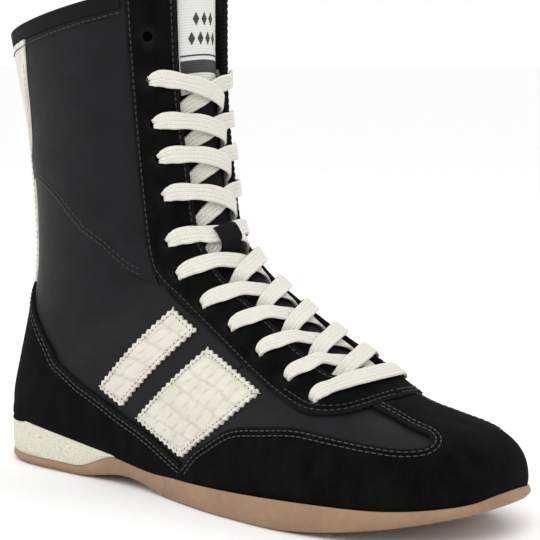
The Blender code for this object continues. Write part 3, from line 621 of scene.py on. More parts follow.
def tongue_cloth():
    look = Look("tongue_cloth", (0.016, 0.016, 0.018), 0.8, 0.1, sheen_weight=0.015)
    where = look.place(cloth=True)
    ribs = look.waves(1.5, where, "Y", 0.3)
    cross = look.waves(0.8, where, "X")
    knit = look.maths("ADD", look.maths("MULTIPLY", ribs, 0.75), look.maths("MULTIPLY", cross, 0.25))
    look.colour(look.ramp(knit, ((0.15, (0.003, 0.003, 0.0035)), (0.85, (0.012, 0.012, 0.0135)))))
    look.rough(look.noise(6.0), 0.72, 0.88)
    return look.raise_by(knit, 0.35, 0.8).material


def knit_lining():
    look = Look("knit_lining", (0.03, 0.03, 0.032), 0.9, 0.2, sheen_weight=0.06)
    where = look.place(cloth=True)
    loops = look.maths("MULTIPLY", look.waves(1.3, where, "X", 0.8), look.waves(1.0, where, "Y", 0.8))
    look.colour(look.ramp(loops, ((0.1, (0.007, 0.007, 0.0075)), (0.7, (0.026, 0.026, 0.028)))))
    look.rough(look.noise(5.0), 0.85, 0.95)
    return look.raise_by(loops, 0.3, 0.9).material


def gum_rubber():
    look = Look("gum_rubber", (0.36, 0.21, 0.12), 0.55)
    grain = look.noise(0.8, 4.0)
    tone = look.noise(16.0)
    base = look.ramp(tone, ((0.3, (0.225, 0.130, 0.070)), (0.7, (0.285, 0.170, 0.098))))
    dust = look.ramp(look.noise(4.0), ((0.45, (0.0, 0.0, 0.0)), (0.8, (0.35, 0.35, 0.35))))
    look.colour(look.mix(dust, base, (0.35, 0.215, 0.125)))
    look.rough(grain, 0.48, 0.66)
    return look.raise_by(grain, 0.12, 0.5).material


def cream_rubber():
    look = Look("cream_rubber", (0.64, 0.60, 0.51), 0.62)
    specks = look.noise(0.7, 5.0)
    look.colour(look.ramp(specks, ((0.34, (0.44, 0.42, 0.34)), (0.48, (0.60, 0.58, 0.47)),
                                   (0.68, (0.66, 0.64, 0.53)))))
    look.rough(look.noise(3.0), 0.55, 0.7)
    return look.raise_by(specks, 0.25, 0.6).material


def thread(name, dark, pale):
    look = Look(name, pale, 0.7)
    twist = look.waves(0.5, look.place(), "DIAGONAL", 1.0)
    look.colour(look.ramp(twist, ((0.1, dark), (0.7, pale))))
    return look.raise_by(twist, 0.08, 0.6).material


def woven_label(name, dark, pale):
    look = Look(name, pale, 0.75)
    where = look.place(cloth=True)
    weave = look.maths("MULTIPLY", look.waves(0.5, where, "X"), look.waves(0.4, where, "Y"))
    look.colour(look.ramp(weave, ((0.1, dark), (0.6, pale))))
    return look.raise_by(weave, 0.1, 0.7).material


def fibre_board():
    look = Look("fibre_board", (0.42, 0.33, 0.22), 0.9)
    fibres = look.noise(1.2, 5.0, look.place((1, 1, 3)))
    look.colour(look.ramp(fibres, ((0.3, (0.30, 0.23, 0.15)), (0.7, (0.50, 0.40, 0.28)))))
    return look.raise_by(fibres, 0.15, 0.6).material


def soft_foam():
    look = Look("soft_foam", (0.22, 0.22, 0.22), 0.95)
    cells = look.add("ShaderNodeTexVoronoi", in_scale=1.0 / 0.8)
    look.links.new(look.place(), cells.inputs["Vector"])
    far = cells.outputs["Distance"]
    look.colour(look.ramp(far, ((0.0, (0.10, 0.10, 0.10)), (0.6, (0.28, 0.28, 0.28)))))
    return look.raise_by(far, 0.2, 0.8).material


def floor_look():
    look = Look("floor", (0.86, 0.86, 0.86), 0.8)
    look.colour(look.ramp(look.noise(60.0), ((0.3, (0.965, 0.965, 0.965)), (0.7, (0.98, 0.98, 0.98)))))
    return look.material


NYLON, SUEDE, SCALES, COTTON = nylon(), suede(), scale_leather(), lace_cotton()
TAPE, TONGUE, LINING = ribbed_tape(), tongue_cloth(), knit_lining()
GUM, CREAM, BOARD, FOAM = gum_rubber(), cream_rubber(), fibre_board(), soft_foam()
GREY_THREAD = thread("grey_thread", (0.014, 0.014, 0.014), (0.050, 0.050, 0.050))
BLACK_THREAD = thread("black_thread", (0.006, 0.006, 0.006), (0.024, 0.024, 0.024))
CREAM_THREAD = thread("cream_thread", (0.45, 0.42, 0.34), (0.72, 0.69, 0.60))
WHITE_LABEL = woven_label("white_label", (0.60, 0.60, 0.57), (0.78, 0.78, 0.75))
DARK_LABEL = woven_label("dark_label", (0.02, 0.02, 0.02), (0.06, 0.06, 0.065))


# Outlines, on the medial side

def line(a, b, step=1.4):
    length = np.linalg.norm((np.array(b) - a) * (T_MM, S_MM))
    return np.linspace(a, b, max(int(length / step), 1) + 1)


WINDOW = curve((4.77, 0.72), (4.72, 0.54), (4.5, 0.44), (4.02, 0.38), (3.43, 0.32), (2.8, 0.29),
               (2.25, 0.28), (1.77, 0.27), (1.53, 0.25), (1.45, 0.21), (1.55, 0.17), (2.05, 0.13),
               (2.47, 0.11), (2.95, 0.11))
FOXING_TOP = curve((4.785, 0.70), (5.18, 0.65), (5.6, 0.62), (6.10, 0.60), (6.48, 0.575),
                   (6.83, 0.56), (7.52, 0.54), (8.58, 0.56), (9.15, 0.62), (9.45, 0.69),
                   (9.75, 0.79), (9.95, 0.9), (10.0, 1.0))
SHAFT_SEAM = curve((11.0, 1.0), (10.93, 0.84), (10.83, 0.69), (10.48, 0.57), (10.0, 0.49),
                   (9.55, 0.40), (8.92, 0.32), (8.3, 0.27))
STAY_BACK = curve((12.05, 0.29), (11.0, 0.295), (10.0, 0.305), (9.0, 0.29), (8.0, 0.275),
                  (7.0, 0.265), (6.0, 0.28), (5.0, 0.29), (4.1, 0.29), (3.7, 0.28), (3.42, 0.25),
                  (3.15, 0.20), (2.97, 0.12), (2.92, 0.0))
STAY_FRONT = curve((3.72, 0.0), (3.74, 0.05), (3.82, 0.10), (4.05, 0.135), (4.5, 0.14), (6.0, 0.14),
                   (8.0, 0.14), (10.0, 0.14), (12.05, 0.14))
REAR_BAR = ((7.10, 0.285), (6.40, 0.29), (6.15, 0.575), (6.62, 0.545))
FRONT_BAR = ((6.03, 0.31), (4.60, 0.31), (4.68, 0.44), (4.80, 0.54), (4.86, 0.66), (5.18, 0.63),
             (5.88, 0.59))


def both(build):
    """Makes a piece for each side: build(side name, turn), turn carrying medial paths across."""
    return [build("medial", lambda path: path), build("lateral", flipped)]


def wrinkles(t, s):
    """Soft waves of thin cloth over the last, strongest where the ankle bends."""
    p = surface(t, s)
    bend = np.exp(-((t - 8.7) / 0.9) ** 2)
    wave = np.sin(p[..., 2] * 0.31 + 1.7 * np.sin(p[..., 0] * 0.05 + s * 3)) * 0.35 * bend
    slow = np.sin(p[..., 0] * 0.11 + p[..., 2] * 0.07) * np.sin(p[..., 2] * 0.09 - s * 5)
    return wave + 0.22 * slow


def seeded(i, j):
    """A repeatable value from 0 to 1 for a cell."""
    value = np.sin(i * 127.1 + j * 311.7) * 43758.5453
    return value - np.floor(value)


def scales(u, v, width, height):
    """Depth of the grooves between embossed scales: 0 on a scale, negative in a groove."""
    row = np.floor(v / height)
    best, second = np.full(u.shape, 1e9), np.full(u.shape, 1e9)
    for dj in (-1, 0, 1):
        j = row + dj
        shift = 0.5 * (j % 2) + 0.25 * seeded(j, 7)
        column = np.floor(u / width - shift)
        for di in (-1, 0, 1):
            i = column + di
            x = (i + 0.5 + shift + 0.22 * (seeded(i, j) - 0.5)) * width
            y = (j + 0.5 + 0.16 * (seeded(j + 9, i) - 0.5)) * height
            far = np.maximum(np.abs(u - x) / width, np.abs(v - y) / height)
            second = np.minimum(second, np.maximum(best, far))
            best = np.minimum(best, far)
    gap = (second - best) * min(width, height)
    return -0.36 * np.exp(-(gap / 0.42) ** 2) + 0.10 * (1 - np.minimum(best * 2, 1))


def bar_scales(t, s):
    return scales(t * T_MM + 0.12 * np.abs(s) * S_MM, np.abs(s) * S_MM, 3.9, 7.4)


def back_scales(t, s):
    across_back = (1 - np.abs(s)) * S_MM * np.sign(s)
    return scales(across_back, t * 46.0, 12.0, 7.6)


def pinked(path, tooth=3.3, depth=1.1):
    """A closed path with a saw-toothed edge, as pinking shears cut it."""
    points = at(path[:, 0], path[:, 1], 0.0)
    ends = np.concatenate([points, points[:1]])
    lengths = arc_lengths(ends)
    count = int(round(lengths[-1] / tooth))
    places = np.concatenate([path, path[:1]])
    where = np.arange(count * 2) * lengths[-1] / (count * 2)
    even = np.stack([np.interp(where, lengths, places[:, k]) for k in range(2)], axis=1)
    closed = np.concatenate([even[-1:], even, even[:1]])
    moved = shifted(closed, depth)[1:-1]
    even[1::2] = moved[1::2]
    dense = []
    for a, b in zip(even, np.roll(even, -1, axis=0)):
        dense += [a, (a + b) / 2]
    return np.array(dense)


def polygon(*corners):
    """A closed path with straight sides."""
    return joined(*[line(a, b) for a, b in zip(corners, corners[1:] + corners[:1])])


def closed_shift(path, distance):
    wrapped = np.concatenate([path[-3:], path, path[:3]])
    return shifted(wrapped, distance)[3:-3]


def eyelet_loop(t, s, radius=EYELET_RADIUS, corners=20):
    by_t, by_s = stretch(np.array([t]), np.array([s]))
    by_t, by_s = by_t[0], by_s[0]
    up = normals(np.array([t]), np.array([s]))[0]
    along = unit(by_t)
    side = np.cross(up, along)
    basis = np.array([[by_t @ along, by_s @ along], [by_t @ side, by_s @ side]])
    angles = np.arange(corners) * 2 * math.pi / corners
    circle = np.stack([np.cos(angles), np.sin(angles)]) * radius
    return np.linalg.solve(basis, circle).T + (t, s)


def make_base():
    vamp_edge = joined(line((0, 1), (5.3, 1)), line((5.3, 1), (5.3, 0.27)),
                       curve((5.3, 0.27), (4.4, 0.27), (3.6, 0.26), (3.36, 0.12), (3.33, 0.0)))
    piece = shell("vamp_cloth", [across(vamp_edge)], NYLON, BASE_OUT, BASE_THICKNESS, relief=wrinkles)
    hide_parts("vamp")

    def quarter(side, turn):
        loop = joined(line((5.3, 0.27), (5.3, 1)), line((5.3, 1), (8.0, 1)), line((8.0, 1), (11.0, 1)),
                      SHAFT_SEAM, curve((8.3, 0.27), (7.0, 0.27), (5.3, 0.27)))
        made = shell(f"quarter_cloth_{side}", [turn(loop)], NYLON, BASE_OUT, BASE_THICKNESS,
                     relief=wrinkles)
        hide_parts(f"quarter_{side}")
        return made

    lap = shifted(SHAFT_SEAM, 5.5)
    tree = tree_of(at(SHAFT_SEAM[:, 0], SHAFT_SEAM[:, 1], 0.0))

    def lapped(t, s):
        """Depth of the shaft cloth: proud where it laps over the quarter, flat under the back panel."""
        near = np.array([tree.find(p)[2] for p in surface(t, np.abs(s))])
        beside_panel = np.clip((0.88 - np.abs(s)) / 0.08, 0, 1)
        return 0.75 * np.clip(1.6 - near / 9.0, 0, 1) * beside_panel

    def shaft(side, turn):
        low = np.clip(lap, (0, 0.27), (11.4, 1.0))
        low[0, 1] = 1.0
        loop = joined(low, line(low[-1], (12.0, 0.27)), line((12.0, 0.27), (12.0, 1.0)),
                      line((12.0, 1.0), low[0]))
        made = shell(f"shaft_cloth_{side}", [turn(loop)], NYLON, lapped, BASE_THICKNESS,
                     relief=wrinkles)
        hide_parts(f"shaft_panel_{side}")
        return made

    both(quarter)
    both(shaft)
    rows = [shifted(lap, d) for d in (-1.8, -4.0)]
    rows = [row[(row[:, 1] > 0.3) & (row[:, 1] < 0.74)] for row in rows]
    made = stitches("shaft_seam_thread", both_ways(rows), 0.85, BLACK_THREAD)


def inner_rows(path, distances, low=0.0, high=1.0):
    """Paths inside an edge, kept where |s| lies between two limits."""
    rows = [shifted(path, d) for d in distances]
    return [row[(np.abs(row[:, 1]) >= low) & (np.abs(row[:, 1]) <= high)] for row in rows]


def make_toe_cap():
    loop = across(joined(line((0, 1), (4.77, 1)), line((4.77, 1), (4.77, 0.72)), WINDOW))
    piece = shell("toe_cap_suede", [loop], SUEDE, SUEDE_OUT, SUEDE_THICKNESS, fine=0.8, rounds=10)
    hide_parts("toe_cap")
    rows = inner_rows(WINDOW, (1.9, 4.0))
    made = stitches("toe_cap_thread", both_ways(rows), SUEDE_OUT + THREAD_RISE, GREY_THREAD)


def make_heel():
    loop = joined(FOXING_TOP, line((10.0, 1.0), (8.0, 1.0)), line((8.0, 1.0), (4.785, 1.0)),
                  line((4.785, 1.0), (4.785, 0.70)))
    piece = shell("heel_suede", [loop, flipped(loop)], SUEDE, SUEDE_OUT, SUEDE_THICKNESS, fine=0.8,
                  rounds=24)
    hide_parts("heel_foxing")
    rows = inner_rows(FOXING_TOP, (-2.0, -4.3), 0, 0.995)
    made = stitches("heel_thread", both_ways(rows), SUEDE_OUT + THREAD_RISE, GREY_THREAD)


def make_back_panel():
    side = curve((11.93, 0.645), (11.4, 0.70), (10.8, 0.775), (10.4, 0.80), (9.85, 0.815))
    low = curve((9.85, 0.815), (9.9, 0.9), (9.95, 1.0))
    loop = joined(side, low, line((9.95, 1.0), (11.93, 1.0)), line((11.93, 1.0), (11.93, 0.645)))
    piece = shell("back_scale_panel", [loop, flipped(loop)], SCALES, BACK_PANEL_OUT,
                  BACK_PANEL_THICKNESS, fine=0.27, relief=back_scales)
    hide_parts("backstay")
    rows = [row[row[:, 0] < 11.75] for row in inner_rows(side, (1.8,))]
    made = stitches("back_panel_thread", both_ways(rows), 1.15, CREAM_THREAD)


def make_bars():
    for name, corners in (("rear", REAR_BAR), ("front", FRONT_BAR)):
        path = polygon(*corners)
        toothed = pinked(path)
        row = closed_shift(path, 2.3)

        def bar(side, turn):
            made = shell(f"side_bar_{name}_{side}_scales", [turn(toothed)], SCALES, BAR_OUT,
                         BAR_THICKNESS, lip=0.3, fine=0.27, relief=bar_scales)
            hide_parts(f"side_bar_{name}_{side}")
            sewn = stitches(f"side_bar_{name}_{side}_thread", [turn(row)], BAR_OUT + THREAD_RISE,
                            CREAM_THREAD, pitch=2.4, length=1.7, radius=0.26)
            # Painted shade: short black beads fill the needle holes between the cream stitches, standing
            # in for the shade inside the holes.
            hole_shade = stitches(f"side_bar_{name}_{side}_holes", [turn(row)], 1.17, BLACK_THREAD,
                               pitch=2.4, length=0.75, radius=0.24, phase=1.0)
            return made

        both(bar)


def make_eyestay():
    top = curve((12.05, 0.14), (12.13, 0.16), (12.15, 0.215), (12.13, 0.27), (12.05, 0.29))
    loop = joined(STAY_FRONT, top, STAY_BACK, flipped(STAY_BACK)[::-1], flipped(top)[::-1],
                  flipped(STAY_FRONT)[::-1])
    holes = [eyelet_loop(t, side * EYELET_S) for side in (-1, 1)
             for t in (EMPTY_EYELET_RIB, *EYELET_RIBS)]
    piece = shell("eyestay_suede", [loop, *holes], SUEDE, SUEDE_OUT, 1.5, fine=0.8, backing=TAPE)
    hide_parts("eyestay")
    backing = joined(curve((3.55, 0.11), (4.1, 0.142), (5, 0.147), (8, 0.147), (12.1, 0.147)),
                     line((12.1, 0.147), (12.1, 0.275)),
                     curve((12.1, 0.275), (8, 0.268), (5, 0.275), (3.55, 0.265)),
                     line((3.55, 0.265), (3.55, 0.11)))

    def facing(side, turn):
        sign = 1 if side == "medial" else -1
        cut = [eyelet_loop(t, sign * EYELET_S) for t in (EMPTY_EYELET_RIB, *EYELET_RIBS)]
        made = shell(f"facing_tape_{side}", [turn(backing), *cut], TAPE, 0.1, 1.2, lip=0.3)
        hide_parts(f"facing_{side}")
        return made

    both(facing)
    outer_row, inner_row = inner_rows(STAY_BACK, (-1.9, -4.2))
    rows = [outer_row, inner_row[inner_row[:, 0] < 4.4], *inner_rows(STAY_FRONT, (-1.9,))]
    made = stitches("eyestay_thread", both_ways(rows), SUEDE_OUT + THREAD_RISE, BLACK_THREAD)


def make_lining():
    throat = curve((12.0, 0.29), (8.0, 0.30), (4.4, 0.30), (3.7, 0.29), (3.45, 0.2), (3.38, 0.0))
    loop = across(joined(line((0, 1), (8, 1)), line((8, 1), (12.0, 1)), line((12.0, 1), (12.0, 0.29)),
                         throat))
    piece = shell("lining_knit", [loop], LINING, LINING_OUT, 1.0, lip=0.3)
    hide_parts("lining")


def rounded_section(points, radius, steps=4):
    """A closed flat section with its corners rounded."""
    made = []
    count = len(points)
    for i, corner in enumerate(points):
        before, after = points[i - 1] - corner, points[(i + 1) % count] - corner
        reach = min(radius, 0.45 * np.linalg.norm(before), 0.45 * np.linalg.norm(after))
        a, b = corner + unit(before) * reach, corner + unit(after) * reach
        for u in np.linspace(0, 1, steps + 1):
            made.append(a * (1 - u) ** 2 + corner * 2 * u * (1 - u) + b * u ** 2)
    return np.array(made)


def edge_tape(name, t, s, inner, outer, reach, skin, body, node):
    """A folded tape over an edge between two depths, from a path of places along the edge."""
    points = surface(t, s)
    up = unit(points - surface(t - 0.4, s))
    out = normals(t, s)
    profile = np.array([(-reach, outer + skin), (skin, outer + skin), (skin, inner - skin),
                        (-reach, inner - skin), (-reach, inner), (0, inner), (0, outer),
                        (-reach, outer)])
    section = rounded_section(profile, 0.9)
    cloth = cloth_of(arc_lengths(points), arc_lengths(section))
    made = tube(name, points, up, out, section, TAPE, body, {"cloth": cloth})
    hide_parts(node)
    return made


def make_collar_binding():
    s = np.linspace(0.305, 1.0, 90)
    path = np.concatenate([-s, s[-2::-1]])
    edge_tape("collar_tape", np.full(len(path), 12.0), path, LINING_IN - 0.2, 0.15, 6.5, 0.9, "boot",
              "collar_binding")
    row = np.stack([np.full(len(path), 11.83), path], axis=1)
    made = stitches("collar_thread", [row], 1.15, BLACK_THREAD)


TONGUE_OUT, TONGUE_IN = -4.3, -10.6


def tongue_edge(t):
    """Half width of the tongue, in s, rounded off at its lower end and top."""
    low = np.clip((t - 3.45) / 0.7, 0, 1)
    high = np.clip((12.42 - t) / 0.3, 0, 1)
    return 0.278 * np.sqrt(np.maximum(1 - (1 - low) ** 2, 0)) * (0.72 + 0.28 * np.sqrt(
        np.maximum(1 - (1 - high) ** 2, 0)))


def tongue_front(t, s):
    """Depth of the tongue's padded front, crowned between the eyestay's edges."""
    crown = np.maximum(1 - (s / 0.15) ** 2, 0)
    return TONGUE_OUT + 1.5 * crown


def make_tongue():
    rows = np.concatenate([np.linspace(3.5, 4.2, 12)[:-1], np.linspace(4.2, 12.38, 170)])
    share = np.sin(np.linspace(-1, 1, 31) * math.pi / 2)
    back = share[::-1][1:-1]
    middle = (TONGUE_OUT + TONGUE_IN) / 2
    pad, pad_back = ((1 - np.abs(part) ** 6) ** 0.5 for part in (share, back))
    points, cloth = [], []
    for t in rows:
        s, s_back = share * tongue_edge(t), back * tongue_edge(t)
        points.append(at(np.full(len(s), t), s, middle + (tongue_front(t, s) - middle) * pad))
        points.append(at(np.full(len(back), t), s_back, middle + (TONGUE_IN - middle) * pad_back))
        cloth += [(t * T_MM, v * S_MM, 0) for v in (*s, *s_back)]
    corners = len(share) + len(back)
    piece = add_piece("tongue_padded", np.concatenate(points), capped_faces(len(rows), corners),
                      [TONGUE, LINING], None, {"cloth": np.array(cloth)})
    for face in piece.data.polygons:
        face.material_index = int(np.mean([v % corners >= len(share) for v in face.vertices]) > 0.5)
    if signed_volume(piece) < 0:
        piece.data.flip_normals()
    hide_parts("tongue_shell_lower", "tongue_shell_upper", "tongue_lining_lower",
                "tongue_lining_upper", "tongue_foam_lower", "tongue_foam_upper")
    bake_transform(piece)
    top = np.linspace(-0.2, 0.2, 41)
    edge_tape("tongue_tape", np.full(len(top), 12.36), top, TONGUE_IN + 0.1, TONGUE_OUT + 1.3, 6.5,
              0.8, "tongue_top", "tongue_binding")


def signed_volume(piece):
    total = 0.0
    points = [vertex.co for vertex in piece.data.vertices]
    for face in piece.data.polygons:
        a = points[face.vertices[0]]
        for i in range(1, len(face.vertices) - 1):
            total += a.dot(points[face.vertices[i]].cross(points[face.vertices[i + 1]]))
    return total


def on_tongue(t, s):
    return tongue_front(t, s) + 0.45


def make_label():
    """A plain woven label: a white ground with a dark band, thin lines and two rows of lozenges."""
    def rectangle(t0, t1, half):
        return polygon((t0, -half), (t1, -half), (t1, half), (t0, half))

    ground = shell("label_ground", [rectangle(10.98, 11.95, 0.122)], WHITE_LABEL, on_tongue, 0.5,
                   lip=0.2, fine=0.6, body="tongue_top")
    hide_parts("tongue_label")

    def raised(t, s):
        return on_tongue(t, s) + 0.14

    bands = ((11.19, 11.31), (11.075, 11.088), (11.345, 11.36), (11.88, 11.893))
    for i, (low, high) in enumerate(bands):
        made = shell(f"label_band_{i}", [rectangle(low, high, 0.118)], DARK_LABEL, raised, 0.25,
                     lip=0.08, fine=0.6, body="tongue_top")
    for i, s in enumerate((-0.066, -0.022, 0.022, 0.066)):
        for k, t in enumerate((11.50, 11.67)):
            # The upper row is set half a space along and has one lozenge fewer.
            middle = s + (0.022 if k else 0.0)
            if middle > 0.08:
                continue
            lozenge = polygon((t - 0.06, middle), (t, middle - 0.016), (t + 0.06, middle),
                              (t, middle + 0.016))
            made = shell(f"label_lozenge_{i}_{k}", [lozenge], DARK_LABEL, raised, 0.25, lip=0.08,
                         fine=0.5, body="tongue_top")
    row = np.linspace((11.02, -0.11), (11.02, 0.11), 30)
    sewn = stitches("label_thread", [row], TONGUE_OUT + 2.0, GREY_THREAD, pitch=1.8, length=1.3,
                    radius=0.22, body="tongue_top")


# Sole

WEDGE_RIB = 5.45
WEDGE_TAPER_RIBS = 0.79
HEEL_RUBBER_THICKNESS = 4.8
SOLE_LIP = 2.2
SOLE_TOE_PROUD = 2.4
SOLE_BACK_X, SOLE_FRONT_X = -138.0, 137.0
HEEL_BEVEL, HEEL_BEVEL_X = 5.0, -126.0
ARCH_RISE, ARCH_BACK_X, ARCH_FRONT_X = 4.5, -80.0, -8.0
TOE_SPRING, TOE_SPRING_X = 14.0, 48.0
TREAD_BORDER, TREAD_PITCH, TREAD_DEPTH = 5.0, 7.0, 1.1


def sole_bottom(x):
    """Height of the tread: flat at the heel and the ball, with an arch and a toe spring."""
    x = np.asarray(x, float) - MIDDLE[0]
    z = np.zeros_like(x)
    heel = x < HEEL_BEVEL_X
    z[heel] = HEEL_BEVEL * np.clip((HEEL_BEVEL_X - x[heel]) / (HEEL_BEVEL_X - SOLE_BACK_X), 0, 1) ** 1.5
    arch = (x > ARCH_BACK_X) & (x < ARCH_FRONT_X)
    share = (x[arch] - ARCH_BACK_X) / (ARCH_FRONT_X - ARCH_BACK_X)
    z[arch] = ARCH_RISE * np.sin(np.pi * share) ** 2
    toe = x > TOE_SPRING_X
    z[toe] = TOE_SPRING * np.clip((x[toe] - TOE_SPRING_X) / (SOLE_FRONT_X - TOE_SPRING_X), 0, 1.2) ** 1.7
    return z


def sole_edge():
    """The upper's lower edge, once round from the toe along the medial side: its points, their
    outward directions and their rib numbers."""
    t = np.concatenate([np.linspace(0.001, 0.6, 40)[:-1], np.linspace(0.6, 7.4, 160)[:-1],
                        np.linspace(7.4, 7.9995, 60)])
    medial = at(t, np.ones(len(t)), 0.0)
    lateral = at(t, -np.ones(len(t)), 0.0)
    ring = np.concatenate([medial, lateral[::-1]])
    ribs = np.concatenate([t, t[::-1]])
    lengths = arc_lengths(np.concatenate([ring, ring[:1]]))
    even = np.linspace(0, lengths[-1], 421)[:-1]
    closed = np.concatenate([ring, ring[:1]])
    ring = np.stack([np.interp(even, lengths, closed[:, k]) for k in range(3)], axis=1)
    ribs = np.interp(even, lengths, np.concatenate([ribs, ribs[:1]]))
    for _ in range(6):
        ring[:, :2] = (np.roll(ring, 1, 0) + 2 * ring + np.roll(ring, -1, 0))[:, :2] / 4
    ahead = np.roll(ring, -1, 0) - np.roll(ring, 1, 0)
    out = unit(np.stack([-ahead[:, 1], ahead[:, 0], np.zeros(len(ring))], axis=1))
    if (out * (ring - ring.mean(0)))[:, :2].sum() < 0:
        out = -out
    toe = np.clip((ring[:, 0] + 45.0) / 70.0, 0, 1)
    ring = ring + out * (SOLE_TOE_PROUD * toe * toe * (3 - 2 * toe))[:, None]
    return ring, out, ribs


def wedge_low(ribs, ring):
    """Top of the gum under the wedge, which thins to nothing at the ball."""
    front_x, near_x = (surface(rib, 1.0)[0] for rib in (WEDGE_RIB, WEDGE_RIB + WEDGE_TAPER_RIBS))
    top = ring[:, 2] - 0.4
    share = np.clip((front_x - ring[:, 0]) / (front_x - near_x), 0, 1)
    thick = sole_bottom(ring[:, 0]) + HEEL_RUBBER_THICKNESS
    share = share * share * (3 - 2 * share)
    return np.where(ribs < WEDGE_RIB, top, top + (np.minimum(thick, top) - top) * share)


def slab(name, rows, material, node, grooves=None):
    """A closed solid from stacked rings round the sole; the last ring is filled as the tread."""
    count = len(rows[0])
    points = list(np.concatenate(rows))
    faces = ring_faces(len(rows), count)

    def fill(ring, base, facing, height=None):
        """Faces across a ring, on a fine net where a function of place and edge distance sets heights."""
        flat = [Vector((p[0], p[1])) for p in ring]
        low, high = ring.min(0), ring.max(0)
        loop = ring[:, :2]
        step = 1.25 if height else 12.0
        grid = np.array(np.meshgrid(np.arange(low[0], high[0], step),
                                    np.arange(low[1], high[1], step))).reshape(2, -1).T
        grid = grid[inside([loop], grid)]
        tree = tree_of([(x, y, 0) for x, y, _ in ring])
        grid = [g for g in grid if tree.find((g[0], g[1], 0))[2] > 0.6 * step]
        made = delaunay_2d_cdt(flat + [Vector(g) for g in grid],
                               [(i, (i + 1) % count) for i in range(count)], [], 0, 1e-6)
        spots = np.array([(p.x, p.y) for p in made[0]])
        inner = [f for f in made[2] if inside([loop], spots[list(f)].mean(0)[None])[0]]
        index = {k: base + origins[0] for k, origins in enumerate(made[3])
                 if origins and origins[0] < count}
        for k, spot in enumerate(spots):
            if k in index:
                continue
            _, near, far = tree.find((*spot, 0))
            index[k] = len(points)
            points.append(np.array([*spot, height(spot, far) if height else ring[near, 2]]))
        for f in inner:
            turned = tuple(index[k] for k in f)
            faces.append(turned if facing else turned[::-1])

    fill(rows[0], 0, True)
    fill(rows[-1], (len(rows) - 1) * count, False, grooves)
    piece = add_piece(name, np.array(points), faces, material, "boot", sharp=40)
    if signed_volume(piece) < 0:
        piece.data.flip_normals()
    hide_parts(node)
    return piece


def tread(spot, far):
    """Height of the tread: wavy grooves across it, inside a plain border."""
    low = float(sole_bottom(np.array([spot[0]]))[0])
    arch = -88.0 < spot[0] < 2.0
    if arch or far < TREAD_BORDER:
        return low
    x = spot[0] + 3.2 * math.sin(spot[1] * 0.45)
    phase = (x / TREAD_PITCH) % 1.0
    depth = TREAD_DEPTH * np.clip((abs(phase - 0.5) - 0.30) / 0.08, 0, 1)
    return low + depth * np.clip((far - TREAD_BORDER) / 1.5, 0, 1)


def make_sole():
    ring, out, ribs = sole_edge()
    low = sole_bottom(ring[:, 0])
    gum_top = wedge_low(ribs, ring)

    def rim(distance, height):
        moved = ring + out * np.reshape(distance, (-1, 1))
        moved[:, 2] = height
        return moved

    fade = np.clip((WEDGE_RIB + 0.5 - ribs) / 0.5, 0, 1)
    lip_top = gum_top + SOLE_LIP * fade
    tall = lip_top - low
    rows = [rim(-3.0, gum_top - 0.3), rim(1.0, lip_top - 0.3), rim(1.9, lip_top), rim(2.3, lip_top - 0.1),
            rim(2.55, lip_top - 0.45)]
    for share, swell in ((0.15, 0.35), (0.3, 0.65), (0.5, 0.8), (0.7, 0.65), (0.85, 0.35)):
        rows.append(rim(2.4 + swell, lip_top - 0.5 - (tall - 1.7) * share))
    rows += [rim(2.2, low + 1.2), rim(1.7, low + 0.5), rim(0.8, low + 0.12), rim(-0.4, low)]
    slab("gum_sole", rows, GUM, "outsole", tread)
    chosen = np.where(ribs >= WEDGE_RIB)[0]
    wedge_bottom = lip_top - 0.05
    wedge_top = ring[:, 2] + SOLE_LIP - 0.2
    closed = []
    profile = ((-3.0, 0.9), (1.0, 0.97), (1.9, 1.0), (2.4, 0.98), (2.8, 0.9), (3.2, 0.7), (3.35, 0.45),
               (3.1, 0.2), (2.6, 0.03), (2.0, 0.0), (-3.0, 0.0))
    for distance, share in profile:
        height = wedge_bottom + (wedge_top - wedge_bottom) * share
        closed.append(rim(distance, height)[chosen])
    slab("heel_wedge_rubber", closed, CREAM, "heel_wedge")
    rows = [rim(-6.5, ring[:, 2] + 6.4), rim(-5.6, ring[:, 2] + 6.3), rim(-5.1, ring[:, 2] + 5.7),
            rim(-5.0, ring[:, 2] + 2.6)]
    slab("footbed_cushion", rows, LINING, "footbed")


# Lace

def lace_depth():
    return SUEDE_OUT + 0.75 + LACE_THICKNESS / 2


def out_of_eyelet(row, side):
    """From inside one eyelet to the upper's outer face."""
    t = EYELET_RIBS[row]
    outside = SUEDE_OUT + 0.3 + BUNCH_THICKNESS / 2
    return [(t, side * 0.219, INSIDE_LACE, 0.95), (t, side * 0.228, -1.4, 1.0),
            (t, side * EYELET_S, 0.2, 1.0), (t, side * 0.2285, SUEDE_OUT + 0.5, 0.9),
            (t, side * 0.217, outside, 0.4), (t, side * 0.199, lace_depth() + 0.2, 0.12)]


